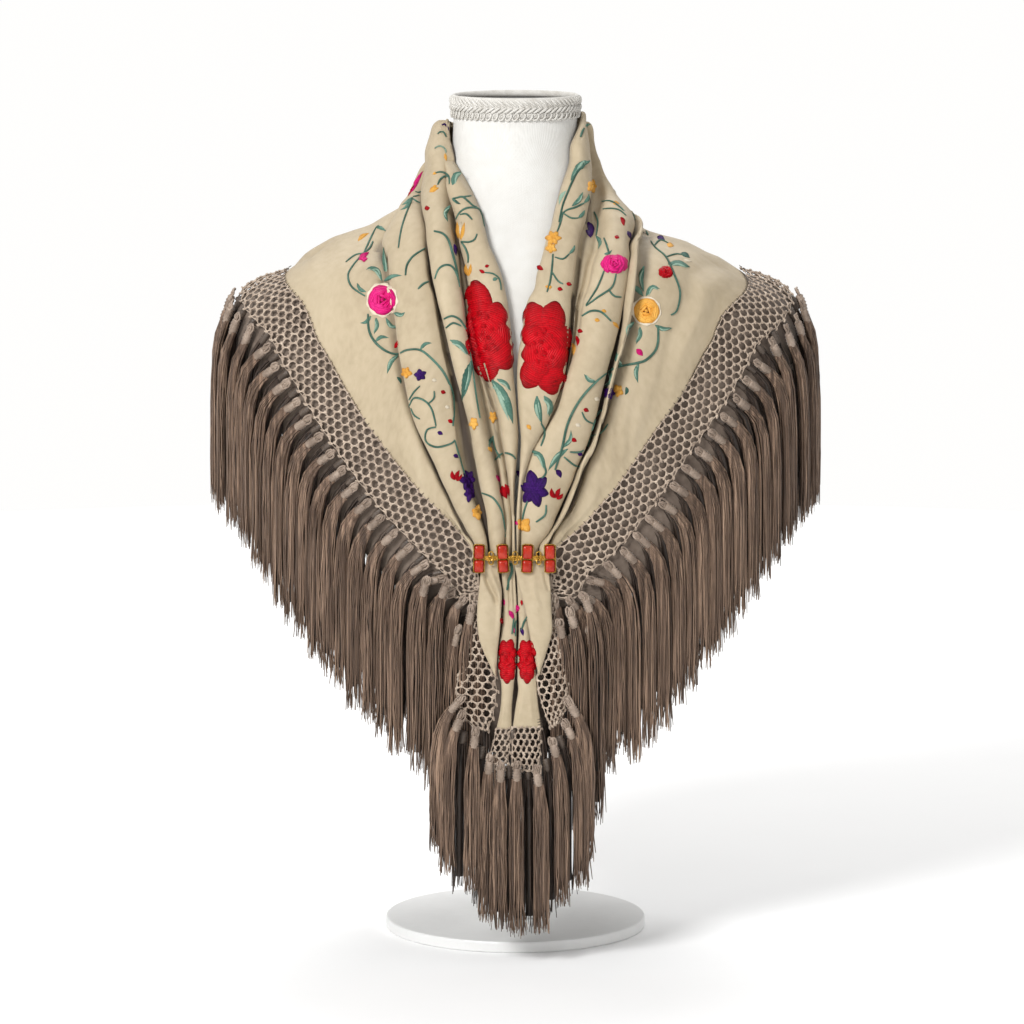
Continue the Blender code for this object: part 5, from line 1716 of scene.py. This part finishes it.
def makeEmbroidery():
    patches = {tone: bmesh.new() for tone in threadTones}
    materials = {tone: threadMaterial(tone + "Floss", tones) for tone, tones in threadTones.items()}
    runs = {tone: [] for tone in threadTones}
    for tone, width, line in stems:
        length = sum(math.dist(a, b) for a, b in zip(line[:-1], line[1:]))
        parts = [[]]
        for u, v in resample(line, max(int(length / 2.2), 4), around=1):
            place, normal = touch(u, v)
            if place is None:
                continue
            if parts[-1] and (Vector(parts[-1][-1]) - place).length > thread["jump"]:
                parts.append([])
            parts[-1].append(np.array(place + normal * thread["sink"]))
        for run in parts:
            if len(run) > 2:
                taper = np.sin(np.linspace(0.12, math.pi - 0.12, len(run))) ** 0.5
                runs[tone].append((run, thread["stem"] * width * (0.55 + 0.45 * taper)))
    for tone, line, width in leaves:
        addPetal(patches[tone], line, width * 1.1)
        if tone == "teal" and width >= 4.5:
            ends = np.array(line, dtype=float)
            way = (ends[-1] - ends[0]) / np.linalg.norm(ends[-1] - ends[0])
            pale = ends + np.array((-way[1], way[0])) * width * 0.2
            pale = pale[0] * 0.85 + pale[-1] * 0.15, pale[1], pale[-1] * 0.9 + pale[0] * 0.1
            addPetal(patches["paleTeal"], [tuple(place) for place in pale], width * 0.5,
                     lift=thread["lift"] * 1.3, slant=-0.8)
    for spec in blooms:
        addBloom(patches, *spec)
    for spec in roses:
        addRose(patches, *spec)
    for spec in greatFlowers:
        addGreatFlower(patches, spec)
    for tone, bm in patches.items():
        if bm.verts:
            piece = finishObject("floss_" + tone, metresOnly(bm), materials[tone])
            addWall(piece, thread["wall"], -1.0)
        else:
            bm.free()
        if runs[tone]:
            tubes("stems_" + tone, runs[tone], 1, materials[tone])


whisker = {"lowest": 352.0, "spacing": 6.4, "inside": 2.4, "outside": 0.3, "radius": 0.36, "raised": 1.1}


def makeWhiskers():
    # the short dark stitches that sew the net to the cloth, square to its edge
    runs = []
    for side in (-1, 1):
        steps = walkOut(paths[side]["edge"], [-whisker["inside"], 0.0, whisker["outside"]])
        points = [placed(side, *steps[:, column].T, standOffBeyond(0, steps[:, 0, 0]) + whisker["raised"])
                  for column in range(3)]
        lengths = lengthsAlong(points[1])
        for along in np.arange(3.0, lengths[-1] - 2, whisker["spacing"]):
            at = along + random.uniform(-1, 1)
            run = [readAlong(at, lengths, line) for line in points]
            if run[1][2] > whisker["lowest"]:
                runs.append((run, whisker["radius"]))
    tubes("edge_stitches", runs, 0, shadedHeadsAndStitchMaterial)


makeEmbroidery()
makeWhiskers()
print("embroidery made")


# The nets round the tails, tucked behind the leaves and hanging from the strips.
tailNets = {
    "left": {
        "left": (
            (470, 594), (469, 622), (467, 640), (463.5, 655), (459.5, 672), (456, 688), (457.5, 702),
            (464, 716), (473, 727)),
        "right": (
            (490, 594), (492, 625), (493.5, 650), (495.5, 670), (498, 686), (497.5, 701), (494, 717),
            (489, 731)), "depth": ((594, 141.5), (640, 146.0), (690, 151.0), (731, 154.0)),
        "round": ((594, 0.5), (640, 3.0), (731, 4.0)), "cells": (4, 20)},
    "right": {
        "left": (
            (541, 594), (541, 630), (540, 655), (537.5, 672), (538, 688), (541, 700), (545.5, 713),
            (550, 728)),
        "right": (
            (556, 594), (557, 622), (560, 640), (563.5, 655), (567, 670), (569.5, 686), (569, 698),
            (566, 709), (561, 721)), "depth": ((594, 141.5), (640, 146.0), (690, 151.0), (731, 154.0)),
        "round": ((594, 0.5), (640, 3.0), (731, 4.0)), "cells": (4, 20)},
    "foot_left": {
        "left": ((496, 728), (494, 740), (490, 755), (485.5, 769)),
        "right": ((511.3, 728), (511, 742), (510, 756), (508.5, 769)),
        "depth": ((728, 151.8), (770, 155.0)), "round": ((728, 2.4), (770, 3.0)), "cells": (3, 7)},
    "foot_right": {
        "left": ((512.3, 727), (512.3, 740), (512.3, 756), (512.6, 770)),
        "right": ((541.5, 727), (541.5, 740), (541, 756), (541, 772)),
        "depth": ((728, 152.0), (770, 155.5)), "round": ((728, 3.0), (770, 3.2)), "cells": (5, 7)}}


def makeTailNets():
    shown = {"left": ["tail_net_left"], "right": ["tail_net_right"], "foot_left": ["tail_net_foot"]}
    for name, spec in tailNets.items():
        grid = hungPlaces(spec, 40, 14)
        cords, knots = knottedNet("tail_net_" + name, grid, *spec["cells"], cord=1.35)
        if name in shown:
            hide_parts(*shown[name])


# The tassels of the tails: head's middle in the picture, lean in degrees (left is negative), length, depth.
tailTassels = (
    (454, 707, -40, 118, 158), (457.6, 725, -24, 120, 160), (474.5, 742, -6, 122, 161),
    (489, 768, -6, 120, 159), (500.5, 776, -3, 122, 162), (517, 775, 0, 130, 163), (538, 780, 8, 120, 162),
    (555, 751, 16, 122, 161), (570, 733, 26, 124, 160), (574, 711, 30, 122, 158))
hiddenTassels = (
    (443.5, 592, -20, 150, 146), (470, 618, -10, 150, 147), (463, 737, -8, 122, 152),
    (481, 752, -4, 124, 153), (509, 772, 0, 126, 154), (528, 773, 3, 126, 154), (547, 765, 8, 122, 153),
    (561, 742, 14, 122, 152), (485, 724, -4, 150, 150), (538, 724, 6, 150, 150), (513, 735, 1, 150, 150),
    (527, 738, 3, 150, 150), (573, 622, 14, 150, 147), (561, 632, 10, 150, 147), (588, 606, 20, 150, 147),
    (456, 640, -14, 146, 143), (574, 650, 12, 146, 143), (438, 615, -12, 146, 142),
    (592, 640, 12, 146, 142), (424, 590, -14, 150, 142))


def hangingPath(u, v, lean, length, depth):
    run, bend = tasselRun(length)
    pixel = (eye["distance"] - depth) / focal / math.cos(tilt)
    lean = math.radians(lean)
    bend = bend + tassel["head"] / 2
    seenU = u + math.sin(lean) * bend / pixel
    seenV = v + (math.cos(lean) * bend + run + tassel["head"] / 2 - bend) / pixel
    points = atDepth(seenU, seenV, depth + np.interp(run, (0, 40, length), (0, 2.0, 0.5))).T
    normals = np.tile((0.0, -1.0, 0.0), (len(run), 1))
    return run, points, unit(np.cross(unit(np.gradient(points, axis=0)), normals)), normals


def makeTailFringe():
    beside = [place for place in hiddenTassels if place[1] < tassel["tailLine"]]
    behind = [place for place in hiddenTassels if place[1] >= tassel["tailLine"]]
    # the tassels behind the tails take the darker strands and heads: painted shade
    for name, places, strands, replaced, shadeStrandMaterial in (("fringe_tail", tailTassels, 44, ["fringe_tail"],
                                                       None),
                                                      ("side_fringe_tail", beside, 22, [], None),
                                                      ("under_fringe_tail", behind, 16, [],
                                                       shadedUnderFringeMaterial)):
        specs = [(hangingPath(u, v, lean, length, depth), length * random.uniform(0.98, 1.03), 5000 + index)
                 for index, (u, v, lean, length, depth) in enumerate(places)]
        tasselSet(name, specs, replaced, strands, shadeStrandMaterial)


makeTailNets()
makeTailFringe()
print("tail nets and tassels made")


def grainedMaterial(name, look, **constants):
    # a hard surface: drifting colour, and a fine grain in gloss and bump
    made, tree, shader = newMaterial(name, **constants)
    where = addNode(tree, "ShaderNodeTexCoord").outputs["Object"]
    tree.links.new(tinted(tree, where, look["tintScale"], look["tones"], look["fine"]),
                   shader.inputs["Base Color"])
    grain = addNode(tree, "ShaderNodeTexNoise", {"Vector": where, "Scale": look["grain"],
                                                 "Detail": look["detail"]})
    dull, bright = look["roughness"]
    gloss = addNode(tree, "ShaderNodeMapRange", {0: grain.outputs["Fac"], 1: 0.3, 2: 0.7, 3: dull,
                                                 4: bright})
    tree.links.new(gloss.outputs[0], shader.inputs["Roughness"])
    bumpInto(tree, shader, grain.outputs["Fac"], look["bump"] * mm)
    return made


# The clip: four gold frames with two coral-coloured stones each, joined by wire knots.
goldLook = {
    "tones": ((0.10, 0.045, 0.007), (0.50, 0.28, 0.045), (0.80, 0.52, 0.15)), "tintScale": 260.0,
    "fine": 0.5, "grain": 500.0, "detail": 3.0, "roughness": (0.2, 0.42), "bump": 0.25}
coralLook = {
    "tones": ((0.20, 0.008, 0.002), (0.36, 0.016, 0.005), (0.48, 0.04, 0.014)), "tintScale": 120.0,
    "fine": 0.4, "grain": 900.0, "detail": 3.0, "roughness": (0.12, 0.26), "bump": 0.05}
clip = {
    "leans": (1.0, -3.0, 2.5, -1.0), "frame": (10.1, 25.1, 2.6), "corner": 2.6, "rim": 0.8, "well": 1.0,
    "stone": (8.0, 4.9), "soften": 0.3, "between": 0.3, "cuts": 7, "cushion": (6, 2.0),
    "stones": ((5.7, 12.0), (-6.4, 10.8)), "wire": 0.62,
    "loops": ((0, 3.5, 1.9, 2.1), (0, -3.4, 1.9, 2.1), (3.0, 0, 1.9, 1.7), (-3.0, 0, 1.9, 1.7))}


def roundedBox(bm, wide, deep, tall, corner, middle):
    made = bmesh.ops.create_cube(bm, size=1)["verts"]
    bmesh.ops.scale(bm, vec=(wide, deep, tall), verts=made)
    bmesh.ops.translate(bm, vec=middle, verts=made)
    edges = [e for e in bm.edges if e.verts[0] in made
             and abs(e.verts[0].co.y - e.verts[1].co.y) > deep * 0.5]
    bmesh.ops.bevel(bm, geom=edges, offset=corner, segments=4, profile=0.5, affect="EDGES", material=-1)


def cushionShape():
    # a stone of unit size: a rectangle with soft corners seen from the front, a dome from the side
    bm = bmesh.new()
    bmesh.ops.create_cube(bm, size=2)
    bmesh.ops.subdivide_edges(bm, edges=bm.edges, cuts=clip["cuts"], use_grid_fill=True)
    boxy, soft = clip["cushion"]
    for vert in bm.verts:
        flat = (abs(vert.co.x) ** boxy + abs(vert.co.z) ** boxy) ** (soft / boxy)
        vert.co /= (flat + abs(vert.co.y) ** soft) ** (1 / soft)
    return meshFrom("cushion", bm)


def makeClip():
    gold = grainedMaterial("warmGold", goldLook, Metallic=1.0, Specular_IOR_Level=0.5)
    coral = grainedMaterial("coralStone", coralLook, Specular_IOR_Level=0.4)
    frames, stones, beads = bmesh.new(), bmesh.new(), []
    cushion = cushionShape()
    wide, tall, deep = clip["frame"]
    middles = []
    for number, lean in enumerate(clip["leans"]):
        turn = math.radians(lean)
        low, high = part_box(f"clip_bar_{number + 1}")
        middle = Vector(((low.x + high.x) / 2, high.y, (low.z + high.z) / 2)) / mm
        middles.append(middle)
        before = set(frames.verts)
        roundedBox(frames, wide, deep, tall, clip["corner"], middle - Vector((0, deep / 2, 0)))
        added = [v for v in frames.verts if v not in before]
        faces = [f for f in frames.faces if f.normal.y < -0.9 and f.verts[0] in added] or \
                [f for f in frames.faces if all(v in added for v in f.verts)
                 and f.calc_center_median().y < middle.y - deep * 0.9]
        bmesh.ops.inset_region(frames, faces=faces, thickness=clip["rim"], depth=0)
        bmesh.ops.inset_region(frames, faces=faces, thickness=0.15, depth=-clip["well"])
        added = [v for v in frames.verts if v not in before]
        swing = Matrix.Rotation(turn, 3, "Y")
        bmesh.ops.rotate(frames, cent=middle, matrix=swing, verts=added)
        for up, height in clip["stones"]:
            before = set(stones.verts)
            stoneWide, stoneDeep = clip["stone"]
            centre = middle + Vector((0, -deep + clip["well"] - stoneDeep / 2 + 0.2, up))
            stones.from_mesh(cushion)
            stones.verts.ensure_lookup_table()
            added = stones.verts[-len(cushion.vertices):]
            for vert in added:
                vert.co.x *= stoneWide / 2
                vert.co.y *= stoneDeep / 2
                vert.co.z *= (height - clip["between"]) / 2
                vert.co += centre
            bmesh.ops.rotate(stones, cent=middle, matrix=swing, verts=added)
        for across in (-1, 1):
            for up in (-tall / 2 + 1.4, -0.5, tall / 2 - 1.4):
                at = np.array(middle + swing @ Vector((across * (wide / 2 - 0.5), 0, up)))
                beads.append(([at - (0, deep - 0.4, 0), at - (0, deep + 0.3, 0), at - (0, deep + 1.1, 0)],
                              [0.75, 0.75, 0.35]))
    frameBody = finishObject("clip_frames", scaledToMetres(frames), gold)
    stoneBody = finishObject("clip_stones", scaledToMetres(stones), coral)
    soften = frameBody.modifiers.new("soften", "BEVEL")
    soften.width = clip["soften"] * mm
    soften.segments = 2
    soften.limit_method = "ANGLE"
    soften.angle_limit = math.radians(35)
    wires = list(beads)
    for left, right in zip(middles[:-1], middles[1:]):
        middle = np.array((left + right) / 2) + (0, -1.4, 0.4)
        half = (right.x - left.x - wide) / 2 + 0.5
        for up in (-0.55, 0.55):
            wires.append(([middle + (-half, 0.2, up), middle + (0, -0.5, up * 0.6),
                           middle + (half, 0.2, up)], clip["wire"]))
        around = np.linspace(0, 2 * math.pi, 41)
        for out, up, wideLoop, tallLoop in clip["loops"]:
            wires.append((np.stack([middle[0] + out + wideLoop * np.cos(around),
                                    middle[1] - 0.5 - 0.3 * np.cos(2 * around),
                                    middle[2] + up + tallLoop * np.sin(around)], axis=-1), clip["wire"]))
        wires.append((np.stack([middle[0] + 1.75 * np.cos(around), np.full(41, middle[1] - 1.0),
                                middle[2] + 1.75 * np.sin(around)], axis=-1), clip["wire"] * 0.9))
        wires.append(([middle - (0, 0.6, 0), middle - (0, 1.2, 0), middle - (0, 1.9, 0)], [1.0, 1.15, 0.5]))
        for side in (-1, 1):
            at = middle + (side * (half - 0.3), 0, 0)
            wires.append(([at - (0, 0, 1.6), at - (0, 0.8, 0), at + (0, 0, 1.6)], [0.6, 0.95, 0.6]))
    wireBody = tubes("clip_filigree", wires, 1, gold)
    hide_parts("clip_bar_1", "clip_bar_2", "clip_bar_3", "clip_bar_4")
    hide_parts(*[f"clip_stone_{number}_{half}" for number in (1, 2, 3, 4)
                             for half in ("upper", "lower")])
    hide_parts("clip_link_1", "clip_link_2", "clip_link_3")


makeClip()
print("clip made")


# The neck's trimming: a rolled band, slanted cords that meet in a herringbone, and a row of loops below
# them.
braid = {
    "profile": (
        (719.5, 0.7), (724, 1.2), (729, 1.8), (734, 1.9), (737.4, 1.6), (738.8, 0.6), (738.6, -0.7),
        (736.5, -1.5), (733.6, -1.6)), "strokes": 66, "loops": 58, "cord": 1.15, "loop": 0.8,
    "tones": ((0.50, 0.475, 0.43), (0.60, 0.58, 0.54), (0.68, 0.66, 0.62)), "stretch": (120, 120, 120),
    "threads": 4.0, "roughness": 0.7, "bump": 0.15, "sheen": 0.15, "specular": 0.25}


def makeBraid():
    braidMaterial = cordMaterial("braidCotton", braid)
    angles = np.linspace(-math.pi, math.pi, 145)
    grid = np.stack([offBody(angles, np.full(145, height), out) for height, out in braid["profile"]],
                    axis=1)
    band = sheetFrom("braid_band", grid, braidMaterial, 0.7, -1.0, closed=True)
    runs = []
    step = 2 * math.pi / braid["strokes"]
    for index in range(braid["strokes"]):
        start = index * step
        for tops in ((737.2, 731.0), (725.6, 730.4)):
            turns = start + step * np.array((0, 0.35, 0.8, 1.25, 1.55))
            heights = tops[0] + (tops[1] - tops[0]) * np.array((0, 0.25, 0.55, 0.85,
                    1.0)) + random.uniform(-0.25, 0.25)
            runs.append((offBody(turns, heights, np.array((2.0, 2.6, 2.8, 2.5, 1.7))),
                         np.array((0.6, 1, 1.05, 0.95, 0.5)) * braid["cord"]))
    step = 2 * math.pi / braid["loops"]
    for index in range(braid["loops"]):
        turn = np.linspace(-0.5 * math.pi, 1.5 * math.pi, 9)
        turns = index * step + step * (0.40 * np.cos(turn) + 0.22 * np.sin(turn))
        heights = 722.4 + 3.0 * np.sin(turn) + random.uniform(-0.2, 0.2)
        runs.append((offBody(turns, heights, 1.7 + 0.7 * np.cos(turn)), braid["loop"]))
    cords = tubes("braid_cords", runs, 1, braidMaterial)
    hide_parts("neck_braid")


makeBraid()
print("braid made")


# What stays from the frame: the dark cap inside the neck and the painted stand.
capLook = {
    "tones": ((0.02, 0.017, 0.015), (0.035, 0.03, 0.026), (0.055, 0.048, 0.042)), "tintScale": 60.0,
    "threads": 700.0, "slub": 0.7, "roughness": 0.85, "bump": 0.2, "sheen": 0.1, "specular": 0.2}
paintLook = {
    "tones": ((0.72, 0.72, 0.71), (0.76, 0.76, 0.75), (0.79, 0.79, 0.78)), "tintScale": 12.0, "fine": 0.3,
    "grain": 900.0, "detail": 2.0, "roughness": (0.28, 0.42), "bump": 0.08}


def makePlainFinishes():
    capMaterial = clothMaterial("darkCap", capLook, "Object")
    paint = grainedMaterial("whitePaint", paintLook, Specular_IOR_Level=0.5, Coat_Weight=0.15,
                            Coat_Roughness=0.25)
    for name, material in (("neck_cap", capMaterial), ("base_disc", paint), ("pole_foot", paint),
                           ("pole", paint),
                           ("pole_top_plate", paint)):
        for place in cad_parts[name].material_slots:
            place.material = material


makePlainFinishes()
print("cap and stand finished")


# The studio: a pale floor, soft lights and the camera at the eye.
room = {
    "light": 0.5, "white": 1.0, "floor": 2.6,
    "tones": ((0.93, 0.93, 0.93), (0.95, 0.95, 0.95), (0.97, 0.97, 0.97))}


def makeStudio():
    made, tree, shader = newMaterial("paleFloor", Roughness=0.9)
    where = addNode(tree, "ShaderNodeTexCoord").outputs["Object"]
    tree.links.new(tinted(tree, where, 1.5, room["tones"], 0.2), shader.inputs["Base Color"])
    bm = bmesh.new()
    bmesh.ops.create_circle(bm, cap_ends=True, segments=96, radius=room["floor"])
    floor = linked("floor", meshFrom("floor", bm, made))

    world = bpy.data.worlds.new("softRoom")
    world.use_nodes = True
    backdrop = world.node_tree.nodes["Background"]
    backdrop.inputs["Color"].default_value = (1.0, 0.995, 0.985, 1)
    seen = addNode(world.node_tree, "ShaderNodeLightPath").outputs["Is Camera Ray"]
    glow = addNode(world.node_tree, "ShaderNodeMapRange", {0: seen, 3: room["light"], 4: room["white"]})
    world.node_tree.links.new(glow.outputs[0], backdrop.inputs["Strength"])
    bpy.context.scene.world = world
    # name, place, what it looks at, size, power
    lights = (
        ("keyLight", (-1.6, -2.5, 2.3), (0, 0, 0.45), 1.1, 105),
        ("fillLight", (2.4, -2.8, 1.2), (0, 0, 0.4), 1.6, 14),
        ("topLight", (0.2, 2.3, 3.4), (0, 1.6, 0), 2.4, 85),
    )
    for name, place, target, size, power in lights:
        data = bpy.data.lights.new(name, "AREA")
        data.shape = "DISK"
        data.size = size
        data.energy = power
        lamp = linked(name, data)
        lamp.location = place
        lamp.rotation_euler = (Vector(target) - Vector(place)).to_track_quat("-Z", "Y").to_euler()
    data = bpy.data.cameras.new("frontCamera")
    data.lens = eye["lens"]
    data.sensor_width = eye["sensor"]
    data.clip_end = 100
    camera = linked("frontCamera", data)
    camera.location = Vector((eye["side"], -eye["distance"], eye["height"])) * mm
    camera.rotation_euler = (math.pi / 2 - tilt, 0, 0)
    bpy.context.scene.camera = camera
    bpy.context.scene.view_settings.view_transform = "Standard"


makeStudio()
print("studio made")
